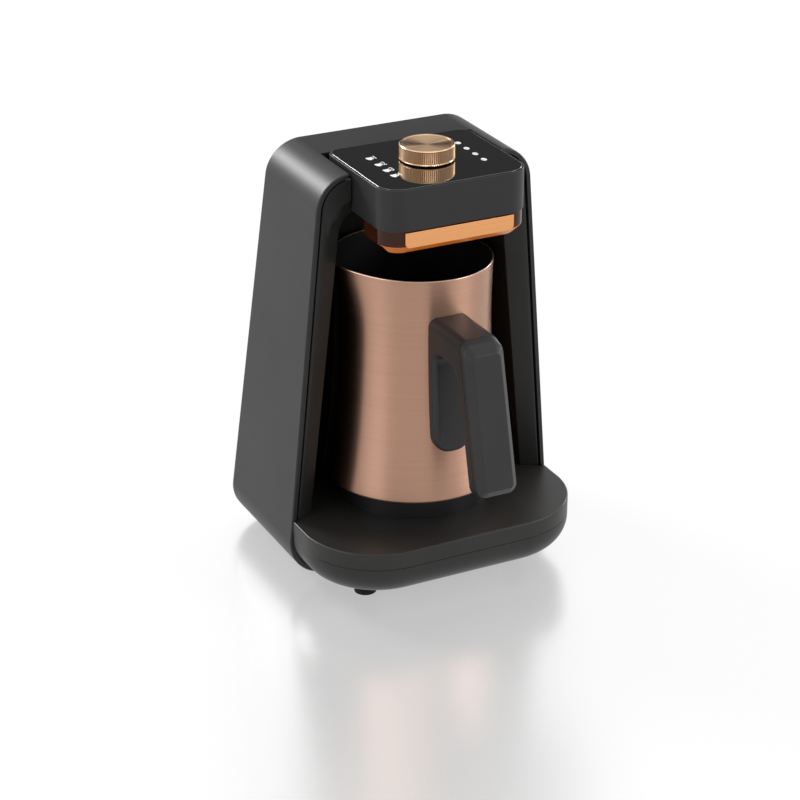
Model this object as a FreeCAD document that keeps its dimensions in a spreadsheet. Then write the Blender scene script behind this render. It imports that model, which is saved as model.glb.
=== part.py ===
import FreeCAD, Part
import math
import os
import re

import Sketcher

Vector = FreeCAD.Vector

# Electric Turkish coffee maker. Millimetres, X to the right, Y to the back, Z up.
# The origin is on the table, under the middle of the whole machine with its pot in place.

SIZES = {
    # outer shell, one closed ring that leans in towards its top
    "shell_bottom": 2.5,
    "roof_depth": 23.0,
    "shell_half_width": 85.0,
    "side_slope": 0.0885,
    "shell_front": 3.8,
    "front_slope": 0.0208,
    "shell_rear": 91.1,
    "rear_slope": 0.0995,
    "shell_wall": 2.8,
    "shell_top_corner": 21.0,
    "shell_bottom_corner": 23.0,
    "shell_rim_round": 1.0,
    "shell_back_round": 2.0,
    # alcove, the inner moulding round the pot
    "groove": 1.0,
    "arch_setback": 0.5,
    "arch_depth": 10.0,
    "arch_head_gap": 0.5,
    "arch_bevel_width": 9.5,
    "arch_bevel_depth": 4.5,
    "arch_face": 10.28,
    "arch_flare": 0.0165,
    "alcove_corner": 14.0,
    "ribbon_room": 0.65,
    "alcove_back_slope": 0.0627,
    "alcove_back_corner": 12.0,
    "alcove_wall": 2.4,
    # rear cover
    "cover_inset": 2.0,
    "cover_wall": 2.4,
    "cover_gap": 0.4,
    "cover_bottom": 12.0,
    "vent_width": 34.0,
    "vent_height": 3.0,
    "vent_pitch": 8.0,
    "vent_bottom": 150.0,
    # base tray
    "tray_top": 40.0,
    "tray_step": 0.38,
    "tray_front": -57.6,
    "tray_corner": 44.6,
    "tray_wall": 2.4,
    "tray_edge_round": 1.0,
    "tray_seam": 29.8,
    "tongue_play": 0.68,
    "tray_gap": 0.4,
    "pan_bottom": 11.0,
    "pan_round": 16.5,
    "skirt_half_width": 56.0,
    "base_screw_inset": 18.2,
    "base_screw_front": -3.0,
    "base_screw_back": 60.0,
    # feet
    "foot_radius": 6.3,
    "foot_pin_radius": 3.0,
    "foot_pin_length": 5.0,
    "front_foot_x": 48.0,
    "front_foot_y": -21.5,
    "rear_foot_x": 48.0,
    "rear_foot_y": 78.0,
    "fit_gap": 0.1,
    # heater
    "plate_radius": 45.0,
    "plate_rise": 13.5,
    "plate_thick": 3.0,
    "plate_edge_round": 0.5,
    "collar_wall": 2.0,
    "collar_inset": 1.0,
    "element_radius": 28.0,
    "element_tube": 3.2,
    "shield_radius": 52.0,
    "shield_thick": 1.0,
    "thermostat_radius": 8.0,
    "thermostat_height": 7.0,
    "strap_half_length": 20.0,
    "strap_width": 9.0,
    "strap_thick": 1.2,
    "sensor_offset": 14.0,
    "fuse_radius": 2.0,
    "fuse_length": 13.0,
    # pot
    "pot_y": 14.9,
    "pot_stand_gap": 0.3,
    "pot_height": 129.7,
    "pot_waist_radius": 44.1,
    "pot_waist_height": 98.7,
    "pot_curve": 600.0,
    "pot_wall": 1.2,
    "pot_floor": 2.0,
    "pot_foot_round": 2.0,
    "spout_reach": 5.0,
    "spout_radius": 17.0,
    "spout_drop": 30.0,
    # handle, in the plane through the pot's axis
    "handle_width": 24.0,
    "handle_drop": 20.2,
    "arm_height": 18.5,
    "pad_height": 82.5,
    "pad_thick": 4.4,
    "pad_flare": 4.0,
    "grip_reach": 41.15,
    "grip_slope": 0.2493,
    "grip_height": 86.3,
    "grip_thick": 15.6,
    "grip_cover_thick": 7.6,
    "grip_cover_drop": 3.0,
    "grip_bevel": 5.5,
    "handle_round": 3.0,
    "handle_corner": 9.0,
    "strap_lift": 9.2,
    "strap_rise": 8.2,
    "strap_angle": 18.0,
    "slot_angle": 20.0,
    "handle_screw_offset": 12.9,
    # head
    "head_half_width": 43.8,
    "head_front": -40.9,
    "head_back": 35.2,
    "head_corner": 13.4,
    "head_back_corner": 8.0,
    "head_drop": 0.7,
    "head_proud": 1.0,
    "head_wall": 3.0,
    "head_floor": 2.0,
    "head_lip": 1.0,
    "head_gap": 2.4,
    "recess_depth": 4.0,
    "glass_proud": 0.4,
    "glass_thick": 1.8,
    "glass_gap": 0.15,
    "glass_hole_radius": 4.6,
    # amber band and plate
    "foam_gap": 24.0,
    "band_height": 13.5,
    "band_back": -12.0,
    "band_inset": 0.8,
    "band_wall": 5.5,
    "band_bevel": 4.6,
    "band_plate_inset": 11.3,
    "band_plate_drop": 0.6,
    "band_plate_height": 8.6,
    "band_plate_thick": 1.2,
    "band_plate_corner": 3.0,
    "cover_skin": 2.0,
    "sensor_radius": 5.0,
    "sensor_flange": 1.5,
    "sensor_clear": 1.1,
    "sensor_board_half": 16.0,
    "sensor_board_depth": 7.0,
    "sensor_post_x": 12.0,
    "sensor_chip": 5.0,
    # knob and its encoder
    "knob_y": -1.9,
    "knob_radius": 15.2,
    "knob_gap": 1.1,
    "knob_height": 8.0,
    "knob_wall": 2.6,
    "knob_roof": 2.4,
    "knob_round": 0.8,
    "shaft_radius": 3.0,
    "shaft_gap": 0.05,
    "shaft_flat": 2.2,
    "encoder_width": 13.0,
    "encoder_height": 6.5,
    "rotor_radius": 5.0,
    "rotor_thick": 2.0,
    "dome_height": 0.9,
    "dome_radius": 2.6,
    "guide_x": 27.0,
    "guide_width": 7.0,
    "guide_front": -19.0,
    "guide_back": 17.0,
    # boards
    "board_thick": 1.6,
    "control_side_room": 6.8,
    "control_front_room": 7.9,
    "control_back_room": 5.2,
    "control_lift": 10.4,
    "lamp_length": 3.0,
    "lamp_width": 2.0,
    "lamp_height": 1.2,
    "post_radius": 2.8,
    "power_side_room": 4.8,
    "power_front": 10.0,
    "power_back_room": 1.35,
    "power_depth": 21.5,
    "screw_radius": 1.5,
    "screw_head_radius": 2.8,
    "screw_head_height": 1.8,
    "screw_length": 9.0,
    "ribbon_thick": 0.8,
    "ribbon_width": 14.0,
    "ribbon_rise": 5.0,
    "lead_radius": 1.1,
    "gland_x": -40.0,
    "gland_z": 26.0,
    "gland_radius": 6.5,
    "gland_flange": 2.0,
    "gland_bore": 3.6,
    "gland_tail": 6.0,
    # components on the power board: distance of the centre from the board's side and front, then length,
    # width and height
    "transformer_inset": 26.0,
    "transformer_y": 30.0,
    "transformer_length": 28.0,
    "transformer_width": 24.0,
    "transformer_height": 14.0,
    "relay_inset": 28.0,
    "relay_y": 32.0,
    "relay_length": 19.0,
    "relay_width": 15.0,
    "relay_height": 14.5,
    "filter_capacitor_inset": 36.0,
    "filter_capacitor_y": 12.0,
    "filter_capacitor_length": 17.0,
    "filter_capacitor_width": 9.0,
    "filter_capacitor_height": 13.0,
    "terminal_block_inset": 22.0,
    "terminal_block_y": 8.0,
    "terminal_block_length": 20.0,
    "terminal_block_width": 9.0,
    "terminal_block_height": 10.0,
    "component_round": 1.0,
    "buzzer_inset": 12.0,
    "buzzer_y": 20.0,
    "buzzer_radius": 6.0,
    "buzzer_height": 8.0,
    "buzzer_hole": 1.2,
}

# Sizes and places that follow from others, so that pieces which meet stay together.
FOLLOWING = {
    "plate_top": "tray_top + plate_rise",
    "pot_waist_z": "plate_top + pot_stand_gap + pot_waist_height",
    "pot_rim": "plate_top + pot_stand_gap + pot_height",
    "band_bottom": "pot_rim + foam_gap",
    "head_bottom": "band_bottom + band_height",
    "alcove_top": "head_bottom - head_drop",
    "shell_top": "alcove_top + roof_depth",
    "head_rim": "shell_top + head_proud",
    "glass_top": "head_rim + glass_proud",
    "control_z": "head_bottom + control_lift",
    "band_plate_top": "head_bottom - band_plate_drop",
    "band_plate_bottom": "band_plate_top - band_plate_height",
    "plate_half_width": "head_half_width - band_plate_inset",
    "control_half_width": "head_half_width - control_side_room",
    "control_front": "head_front + control_front_room",
    "control_back": "head_back - control_back_room",
    "sensor_y": "head_front + band_inset + band_wall + cover_skin + sensor_radius + sensor_flange + sensor_clear",
    "tray_shell_half": "shell_half_width - side_slope * (tray_top - shell_bottom)",
    "alcove_half_width": "tray_shell_half - shell_wall - groove - arch_face",
    "alcove_slope": "side_slope + arch_flare",
    "tray_half_width": "tray_shell_half - tray_step",
    "tongue_half_width": "tray_shell_half - shell_wall - tongue_play",
    "cover_face_top": "shell_rear - rear_slope * (alcove_top + alcove_wall - shell_bottom) - cover_inset - cover_wall",
    "alcove_back": "cover_face_top - ribbon_thick - ribbon_room - ribbon_seat - alcove_wall"
                   " + alcove_back_slope * (alcove_top + alcove_wall - tray_top)",
    "ribbon_seat": "fit_gap * 4",
    "tray_back": "alcove_back + alcove_wall - tray_gap",
    "base_screw_x": "tongue_half_width - base_screw_inset",
    "power_half_width": "base_screw_x - screw_head_radius - tray_wall - power_side_room",
    "transformer_x": "transformer_inset - power_half_width",
    "relay_x": "power_half_width - relay_inset",
    "filter_capacitor_x": "power_half_width - filter_capacitor_inset",
    "terminal_block_x": "terminal_block_inset - power_half_width",
    "buzzer_x": "power_half_width - buzzer_inset",
    "power_back": "tray_back - tray_wall - pan_round / 2 - power_back_room",
    "power_z": "tray_top - power_depth",
    "handle_top": "pot_rim - handle_drop",
    "arm_bottom": "handle_top - arm_height",
    "pad_bottom": "handle_top - pad_height",
    "grip_bottom": "handle_top - grip_height",
    "pad_reach": "pot_waist_radius + pad_thick",
    "grip_front": "pot_waist_radius + grip_reach",
    "strap_low": "pad_bottom + strap_lift",
    "strap_high": "arm_bottom + strap_rise",
    "handle_screw_reach": "pot_waist_radius + handle_screw_offset",
}

doc = FreeCAD.newDocument("CoffeeMaker")
sheet = doc.addObject("Spreadsheet::Sheet", "Sizes")
for row, (alias, number) in enumerate(SIZES.items(), start=1):
    sheet.set(f"A{row}", alias)
    sheet.set(f"B{row}", str(number))
    sheet.setAlias(f"B{row}", alias)
doc.recompute()

WORD = re.compile(r"[a-z][a-z_]*[a-z]")
X_AXIS, Y_AXIS, Z_AXIS = Vector(1, 0, 0), Vector(0, 1, 0), Vector(0, 0, 1)
UPRIGHT = FreeCAD.Rotation(X_AXIS, 90)
ALONG_X = FreeCAD.Rotation(Y_AXIS, 90)
parts = []


def ex(text):
    """An expression on the sheet's cells, from plain names of sizes and of what follows from them."""
    def cells(match):
        word = match.group()
        if word in FOLLOWING:
            return f"({ex(FOLLOWING[word])})"
        return f"Sizes.{word}" if word in SIZES else word
    return WORD.sub(cells, text)


def bind(thing, **places):
    """Ties properties to expressions; a double underscore stands for a dot."""
    for name, text in places.items():
        thing.setExpression(name.replace("__", "."), ex(text))


def place(thing, x="0", y="0", z="0"):
    """Ties a feature's place to expressions."""
    bind(thing, Placement__Base__x=x, Placement__Base__y=y, Placement__Base__z=z)


# Heights, widths and depths that follow the leaning shell and the flared pot.

def shell_half(z):
    return f"(shell_half_width - side_slope * ({z} - shell_bottom))"


def front_at(z):
    return f"(shell_front - front_slope * ({z} - shell_bottom))"


def rear_at(z):
    return f"(shell_rear - rear_slope * ({z} - shell_bottom))"


def alcove_half(z):
    return f"(alcove_half_width - alcove_slope * ({z} - tray_top))"


def alcove_rear(z):
    return f"(alcove_back - alcove_back_slope * ({z} - tray_top))"


def pot_radius(z, offset="0"):
    """The pot's outside at a height, on one large arc; the offset moves inward."""
    return (f"(pot_waist_radius + pot_curve - "
            f"sqrt((pot_curve + {offset}) ^ 2 - ({z} - pot_waist_z) ^ 2))")


def grip_line(z):
    """Distance of the grip's front face from the pot's axis at a height."""
    return f"(grip_front + grip_slope * (handle_top - {z}))"


GRIP_LENGTH = "sqrt(1 + grip_slope ^ 2)"
POT_BASE = "(plate_top + pot_stand_gap)"
POT_RIM = "pot_rim"
CEILING = "(alcove_top + alcove_wall)"
GLASS_BED = "(glass_top - glass_thick)"
KNOB_BASE = "(glass_top + knob_gap)"
BOARD_TOP = "(control_z + board_thick)"
PAN_FLOOR = "(pan_bottom + tray_wall)"
POWER_TOP = "(power_z + board_thick)"
PLATE_UNDER = "(plate_top - plate_thick)"
COLLAR_RADIUS = "(plate_radius - collar_inset)"
COLLAR_INSIDE = "(plate_radius - collar_inset - collar_wall)"
COLLAR_TOP = "(plate_top - plate_thick / 2)"
ROTOR_LOW = "(control_z + board_thick + 1 + dome_height + 0.4)"
ROTOR_TOP = "(control_z + board_thick + 1 + dome_height + 0.4 + rotor_thick)"
DOME_TOP = "(control_z + board_thick + 1 + dome_height)"
KNOB_SEAT = "(glass_top + knob_gap + knob_height - knob_roof)"
PIN_Y = "(pot_y + sqrt(element_radius ^ 2 - (element_tube * 2) ^ 2))"
PIN_LOW = "(plate_top - plate_thick - element_tube * 4)"
HEAD_STEP = ("(shell_front - front_slope * (alcove_top - shell_bottom) + arch_setback + arch_bevel_depth"
             " - cover_skin)")
HEAD_FLOOR = "(alcove_top + alcove_wall + head_floor)"
BAND_CORE = "(band_inset + band_wall)"
PLATE_BACK = "(head_front + band_inset)"
SENSOR_Z = "(band_bottom + 6.5)"
BOARD_SCREWS = [(f"{side} * (control_half_width - 4)", y) for side in (1, -1)
                for y in ("(control_front + 10)", "(control_back - 5)")]
VENT_COUNT = 5
LAMP_COUNT = 5
SCREW_SEAT = "(tray_seam - screw_length * 0.3)"
BASE_SCREWS = [(f"{side} * base_screw_x", y) for side in (1, -1)
               for y in ("base_screw_front", "base_screw_back")]
POWER_POSTS = [(f"{side} * (power_half_width - 5)", y) for side in (1, -1)
               for y in ("(power_front + 5)", "(power_back - 5)")]


# Bodies and their features.

def new_body(name):
    body = doc.addObject("PartDesign::Body", name)
    body.Label = name
    parts.append(body)
    return body


def new_tool(name):
    """A body that only cuts another one."""
    return doc.addObject("PartDesign::Body", name)


def combine(body, tool, kind):
    feature = body.newObject("PartDesign::Boolean", "Boolean")
    feature.Type = kind
    feature.setObjects([tool])
    return feature


def keep(thing, name):
    """Marks a Part object as one sub-part."""
    thing.Label = name
    parts.append(thing)
    return thing


def plane_of(body, role):
    return next(item for item in body.Origin.OriginFeatures if item.Role == role)


def sketch_on(body, role, offset="0"):
    sketch = body.newObject("Sketcher::SketchObject", "Sketch")
    sketch.AttachmentSupport = (plane_of(body, role), [""])
    sketch.MapMode = "FlatFace"
    bind(sketch, AttachmentOffset__Base__z=offset)
    return sketch


def pin_point(sketch, item, end, x, y):
    """Fixes a point of the sketch at two expressions, starting from where it is."""
    spot = sketch.getPoint(item, end)
    for kind, text, start in (("DistanceX", x, spot.x), ("DistanceY", y, spot.y)):
        number = sketch.addConstraint(Sketcher.Constraint(kind, -1, 1, item, end, start))
        sketch.setExpression(f"Constraints[{number}]", ex(text))


def polygon(sketch, corners):
    count = len(corners)
    turn = 2 * math.pi / count
    spots = [Vector(9 * math.cos(turn * k), 9 * math.sin(turn * k), 0) for k in range(count)]
    for k in range(count):
        sketch.addGeometry(Part.LineSegment(spots[k], spots[(k + 1) % count]))
    for k in range(count):
        sketch.addConstraint(Sketcher.Constraint("Coincident", k, 2, (k + 1) % count, 1))
        pin_point(sketch, k, 1, *corners[k])
    return sketch


def rectangle(sketch, x_low, x_high, y_low, y_high):
    return polygon(sketch, [(x_low, y_low), (x_high, y_low), (x_high, y_high), (x_low, y_high)])


def curved_side(sketch, z_low, z_high, outer, inner):
    """A strip between two arcs that run alongside the pot's outside, or in to the axis."""
    curve = value("pot_curve")
    waist = value("pot_waist_radius")
    middle = Vector(waist + curve, value("pot_waist_z"), 0)
    low, high = value(z_low), value(z_high)

    def arc(offset):
        circle = Part.Circle(middle, Z_AXIS, curve + value(offset))
        turns = [math.pi + math.asin((middle.y - z) / curve) for z in (high, low)]
        sketch.addGeometry(Part.ArcOfCircle(circle, *turns))

    arc(outer)
    sketch.addGeometry(Part.LineSegment(Vector(waist, low, 0), Vector(0, low, 0)))
    sketch.addGeometry(Part.LineSegment(Vector(0, high, 0), Vector(waist, high, 0)))
    if inner is None:
        sketch.addGeometry(Part.LineSegment(Vector(0, low, 0), Vector(0, high, 0)))
    else:
        arc(inner)
    top_end, bottom_end = 1, 2
    inner_low, inner_high = (1, 2) if inner is None else (2, 1)
    join = Sketcher.Constraint
    sketch.addConstraint(join("Coincident", 0, bottom_end, 1, 1))
    sketch.addConstraint(join("Coincident", 1, 2, 3, inner_low))
    sketch.addConstraint(join("Coincident", 2, 1, 3, inner_high))
    sketch.addConstraint(join("Coincident", 2, 2, 0, top_end))
    radius = sketch.addConstraint(join("Radius", 0, curve + value(outer)))
    sketch.setExpression(f"Constraints[{radius}]", ex(f"pot_curve + {outer}"))
    pin_point(sketch, 0, top_end, pot_radius(z_high, outer), z_high)
    pin_point(sketch, 0, bottom_end, pot_radius(z_low, outer), z_low)
    if inner is None:
        pin_point(sketch, 3, 1, "0", z_low)
        pin_point(sketch, 3, 2, "0", z_high)
    else:
        radius = sketch.addConstraint(join("Radius", 3, curve + value(inner)))
        sketch.setExpression(f"Constraints[{radius}]", ex(f"pot_curve + {inner}"))
        pin_point(sketch, 3, 1, pot_radius(z_high, inner), z_high)
        pin_point(sketch, 3, 2, pot_radius(z_low, inner), z_low)
    return sketch


def pad(body, sketch, length, symmetric=False):
    """A pad along the sketch's normal."""
    feature = body.newObject("PartDesign::Pad", "Pad")
    feature.Profile = sketch
    if symmetric:
        feature.SideType = "Symmetric"
    bind(feature, Length=length)
    sketch.Visibility = False
    return feature


def turned(body, sketch, angle=None):
    """A solid of revolution about the body's own Z axis."""
    feature = body.newObject("PartDesign::Revolution", "Turned")
    feature.Profile = sketch
    axis = next(item for item in body.Origin.OriginFeatures if item.Role == "Z_Axis")
    feature.ReferenceAxis = (axis, [""])
    feature.Angle = 360
    if angle:
        feature.Midplane = True
        bind(feature, Angle=angle)
    return feature


def box(body, x, y, z, cut=False):
    """A block between pairs of expressions."""
    feature = body.newObject("PartDesign::SubtractiveBox" if cut else "PartDesign::AdditiveBox", "Box")
    bind(feature, Length=f"{x[1]} - ({x[0]})", Width=f"{y[1]} - ({y[0]})", Height=f"{z[1]} - ({z[0]})")
    place(feature, x[0], y[0], z[0])
    return feature


def drum(body, x, y, z, radius, cut=False):
    """An upright cylinder between two heights."""
    kind = "PartDesign::SubtractiveCylinder" if cut else "PartDesign::AdditiveCylinder"
    feature = body.newObject(kind, "Drum")
    bind(feature, Radius=radius, Height=f"{z[1]} - ({z[0]})")
    place(feature, x, y, z[0])
    return feature


def wedge(body, half, front, rear, z, cut=False):
    """A leaning block: half, front and rear give its reach at a height."""
    kind = "PartDesign::SubtractiveWedge" if cut else "PartDesign::AdditiveWedge"
    feature = body.newObject(kind, "Wedge")
    low, high = z
    bind(feature, Ymax=high, Ymin=low, Xmax=half(low), Xmin=f"-({half(low)})",
         X2max=half(high), X2min=f"-({half(high)})", Zmax=f"-({front(low)})", Zmin=f"-({rear(low)})",
         Z2max=f"-({front(high)})", Z2min=f"-({rear(high)})")
    feature.Placement = FreeCAD.Placement(Vector(), UPRIGHT)
    return feature


def picked(shape, test):
    return [f"Edge{number}" for number, edge in enumerate(shape.Edges, start=1) if test(edge)]


def rounded(body, radius, test, kind="Fillet"):
    """Rounds or bevels the edges that pass the test."""
    doc.recompute()
    base = body.Tip
    names = picked(base.Shape, test)
    if not names:
        raise ValueError(f"{body.Label}: no edge to round")
    feature = body.newObject(f"PartDesign::{kind}", kind)
    feature.Base = (base, names)
    if kind == "Fillet":
        bind(feature, Radius=radius)
    else:
        bind(feature, Size=radius)
    return feature


def along(edge, axis, slack=0.2):
    """True for a straight edge that runs near an axis."""
    if edge.Curve.TypeId != "Part::GeomLine":
        return False
    run = edge.Vertexes[-1].Point - edge.Vertexes[0].Point
    return run.Length > 0 and abs(run.dot(axis)) / run.Length > 1 - slack / 4


def mid(edge):
    return edge.BoundBox.Center


def value(text):
    """The number that an expression comes to."""
    return float(sheet.evalExpression(ex(text)))


# Outer shell.

def make_outer_shell():
    body = new_body("outer_shell")
    wedge(body, shell_half, front_at, rear_at, ("shell_bottom", "shell_top"))
    rounded(body, "shell_top_corner", lambda e: along(e, Y_AXIS) and mid(e).z > value("shell_top") - 1)
    rounded(body, "shell_bottom_corner", lambda e: along(e, Y_AXIS)
            and mid(e).z < value("shell_bottom") + 1)
    rounded(body, "shell_back_round", lambda e: e.BoundBox.YMin > value("shell_rear") / 2)
    rounded(body, "shell_rim_round", lambda e: e.BoundBox.YMax < value("shell_front") + 0.1)
    reach = "(head_half_width + head_gap)"
    box(body, (f"-{reach}", reach), ("-60", "head_back"),
        ("(head_rim - recess_depth)", "(shell_top + 5)"),
        cut=True)
    inner = new_tool("shell_inside")
    wedge(inner, lambda z: f"({shell_half(z)} - shell_wall)", lambda z: f"({front_at(z)} - 30)",
          lambda z: f"({rear_at(z)} + 30)", ("(shell_bottom + shell_wall)", "(shell_top - shell_wall)"))
    rounded(inner, "shell_top_corner - shell_wall",
            lambda e: along(e, Y_AXIS) and mid(e).z > value("shell_top") / 2)
    rounded(inner, "shell_bottom_corner - shell_wall",
            lambda e: along(e, Y_AXIS) and mid(e).z < value("shell_top") / 2)
    combine(body, inner, "Cut")
    for side in (1, -1):
        drum(body, f"{side} * rear_foot_x", "rear_foot_y",
             ("(shell_bottom - 1)", "(shell_bottom + shell_wall + 1)"),
             "foot_pin_radius + fit_gap", cut=True)
    return body


# Alcove moulding with its bevelled front arch.

def make_alcove():
    body = new_body("alcove_housing")
    inset = "(shell_wall + groove)"
    flange_top = f"(shell_top - {inset})"
    wedge(body, lambda z: f"({shell_half(z)} - {inset})", lambda z: f"({front_at(z)} + arch_setback)",
          lambda z: f"({front_at(z)} + arch_setback + arch_depth)", ("tray_top", flange_top))
    rounded(body, f"shell_top_corner - {inset}", lambda e: along(e, Y_AXIS)
            and mid(e).z > value("alcove_top"))
    walls = new_tool("alcove_walls")
    wedge(walls, lambda z: f"({alcove_half(z)} + alcove_wall)",
          lambda z: f"({front_at(z)} + arch_depth / 2)",
          lambda z: f"({alcove_rear(z)} + alcove_wall)", ("tray_top", CEILING))
    rounded(walls, "alcove_corner + alcove_wall",
            lambda e: along(e, Y_AXIS) and mid(e).z > value("alcove_top"))
    rounded(walls, "alcove_back_corner + alcove_wall",
            lambda e: along(e, Z_AXIS) and mid(e).y > value("pot_y"))
    combine(body, walls, "Fuse")
    hollow = new_tool("alcove_hollow")
    wedge(hollow, alcove_half, lambda z: f"({front_at(z)} - 40)", alcove_rear,
          ("(tray_top - 5)", "alcove_top"))
    rounded(hollow, "alcove_corner", lambda e: along(e, Y_AXIS) and mid(e).z > value("tray_top"))
    rounded(hollow, "alcove_back_corner", lambda e: along(e, Z_AXIS) and mid(e).y > value("pot_y"))
    combine(body, hollow, "Cut")
    doc.recompute()
    front = value("shell_front") + value("arch_setback") + 0.1
    bevel = rounded(body, "arch_bevel_width",
                    lambda e: e.BoundBox.YMax < front and abs(mid(e).x) < value("alcove_half_width")
                    and e.BoundBox.ZMax < value("alcove_top") + 0.1
                    and e.BoundBox.ZLength + e.BoundBox.XLength > 12
                    and not (along(e, X_AXIS, 0.01) and mid(e).z < value("tray_top") + 1), "Chamfer")
    bevel.ChamferType = "Two distances"
    bind(bevel, Size2="arch_bevel_depth")
    half = "(head_half_width + arch_head_gap)"
    box(body, (f"-{half}", half), ("head_front", "(head_back + 9)"), (CEILING, "(shell_top + 5)"),
        cut=True)
    return body


# Rear cover: follows the leaning back, with vents and the cord's outlet.

def make_rear_cover():
    body = new_body("rear_cover")
    inset = "(shell_wall + cover_gap)"
    wedge(body, lambda z: f"({shell_half(z)} - {inset})",
          lambda z: f"({rear_at(z)} - cover_inset - cover_wall)",
          lambda z: f"({rear_at(z)} - cover_inset)",
          ("cover_bottom", "(shell_top - shell_wall - cover_gap)"))
    rounded(body, f"shell_top_corner - {inset}", lambda e: along(e, Y_AXIS)
            and mid(e).z > value("shell_top") / 2)
    rounded(body, f"shell_bottom_corner - {inset}",
            lambda e: along(e, Y_AXIS) and mid(e).z < value("shell_top") / 2)
    for number in range(VENT_COUNT):
        low = f"(vent_bottom + {number} * vent_pitch)"
        box(body, ("-vent_width", "vent_width"), ("(shell_rear / 2)", "(shell_rear + 9)"),
            (low, f"({low} + vent_height)"), cut=True)
    slot = body.newObject("PartDesign::SubtractiveCylinder", "Outlet")
    bind(slot, Radius="gland_radius + fit_gap", Height="60")
    slot.Placement = FreeCAD.Placement(Vector(), UPRIGHT)
    place(slot, "gland_x", "shell_rear + 20", "gland_z")
    return body


# Tray and pan: a wide front with large corners, and a narrower tongue inside the shell.

def tray_block(body, z, tongue_gap="0"):
    """The tray's outline between two heights."""
    butt = f"({front_at(z[0])} - tray_gap)"
    front = sketch_on(body, "XY_Plane", z[0])
    rectangle(front, "-tray_half_width", "tray_half_width", "tray_front", butt)
    pad(body, front, f"{z[1]} - ({z[0]})")
    rounded(body, "tray_corner", lambda e: along(e, Z_AXIS, 0.01) and mid(e).y < value("tray_front") + 1)
    back = sketch_on(body, "XY_Plane", z[0])
    rectangle(back, f"-(tongue_half_width - {tongue_gap})", f"(tongue_half_width - {tongue_gap})",
              f"({butt} - tray_wall)", "tray_back")
    pad(body, back, f"{z[1]} - ({z[0]})")


def tray_hollow(body, name, z, inset):
    """Hollows a tray half between two heights, with corners that follow the outside."""
    hollow = new_tool(name)
    half = f"(tongue_half_width - {inset})"
    box(hollow, (f"-{half}", half), (f"(tray_front + {inset})", f"(tray_back - {inset})"), z)
    rounded(hollow, f"tray_corner - {inset} - (tray_half_width - tongue_half_width)",
            lambda e: along(e, Z_AXIS, 0.01) and mid(e).y < value("shell_front"))
    combine(body, hollow, "Cut")


def make_base_tray():
    body = new_body("base_tray")
    tray_block(body, ("tray_seam", "tray_top"))
    rounded(body, "tray_edge_round",
            lambda e: e.BoundBox.ZMin > value("tray_top") - 0.1
            and e.BoundBox.YMax < value("shell_front"))
    tray_hollow(body, "tray_hollow", ("(tray_seam - 1)", "(tray_top - tray_wall)"), "tray_wall")
    drum(body, "0", "pot_y", ("(tray_seam - 1)", "(tray_top + 1)"), COLLAR_INSIDE, cut=True)
    for x, y in BASE_SCREWS:
        drum(body, x, y, ("tray_seam", "(tray_top - tray_wall)"), "post_radius")
        drum(body, x, y, ("(tray_seam - 1)", "(tray_seam + screw_length * 0.7)"),
             "screw_radius + fit_gap", cut=True)
    return body


def make_base_pan():
    body = new_body("base_pan")
    tray_block(body, ("pan_bottom", "tray_seam"))
    rounded(body, "pan_round", lambda e: e.BoundBox.ZMax < value("pan_bottom") + 0.1
            and e.BoundBox.YMax < value("shell_front") + 0.1 and e.BoundBox.YMin < 0)
    tray_hollow(body, "pan_hollow_low", (PAN_FLOOR, "tray_seam"), "(tray_wall + pan_round / 2)")
    tray_hollow(body, "pan_hollow_high", ("(pan_bottom + pan_round)", "(tray_seam + 1)"), "tray_wall")
    skirt = f"({front_at('shell_bottom')} + shell_rim_round)"
    box(body, ("-skirt_half_width", "skirt_half_width"), (skirt, f"({skirt} + tray_wall)"),
        ("(shell_bottom + shell_wall + fit_gap)", "(pan_bottom + 1)"))
    for side in (1, -1):
        drum(body, f"{side} * front_foot_x", "front_foot_y", ("(pan_bottom - 1)", f"({PAN_FLOOR} + 1)"),
             "foot_pin_radius + fit_gap", cut=True)
    for x, y in POWER_POSTS:
        drum(body, x, y, (f"({PAN_FLOOR} - 1)", "power_z"), "post_radius")
        drum(body, x, y, (PAN_FLOOR, "(power_z + 1)"), "screw_radius + fit_gap", cut=True)
    box(body, ("(-ribbon_width / 2 - 1)", "(ribbon_width / 2 + 1)"),
        ("(tray_back - tray_wall - 9)", "(tray_back + 1)"),
        (f"({POWER_TOP} + ribbon_rise - 1)", f"({POWER_TOP} + ribbon_rise + ribbon_thick + 1)"), cut=True)
    for x, y in BASE_SCREWS:
        drum(body, x, y, (f"({PAN_FLOOR} - 1)", "tray_seam"), "screw_head_radius + tray_wall")
        drum(body, x, y, ("(pan_bottom - 1)", "(tray_seam + 1)"), "screw_radius + fit_gap", cut=True)
        drum(body, x, y, ("(pan_bottom - 1)", SCREW_SEAT), "screw_head_radius + fit_gap", cut=True)
    return body


def make_feet():
    screws("base_screws", [(x, y, SCREW_SEAT) for x, y in BASE_SCREWS], 1, "screw_length * 0.95")
    for name, x, y, top in (("front_foot_right", "front_foot_x", "front_foot_y", "pan_bottom"),
                            ("front_foot_left", "-front_foot_x", "front_foot_y", "pan_bottom"),
                            ("rear_foot_right", "rear_foot_x", "rear_foot_y", "shell_bottom"),
                            ("rear_foot_left", "-rear_foot_x", "rear_foot_y", "shell_bottom")):
        body = new_body(name)
        drum(body, x, y, ("0", top), "foot_radius")
        drum(body, x, y, (f"({top} - 1)", f"({top} + foot_pin_length)"), "foot_pin_radius")


# Hot plate, its heater and what guards it.

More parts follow.
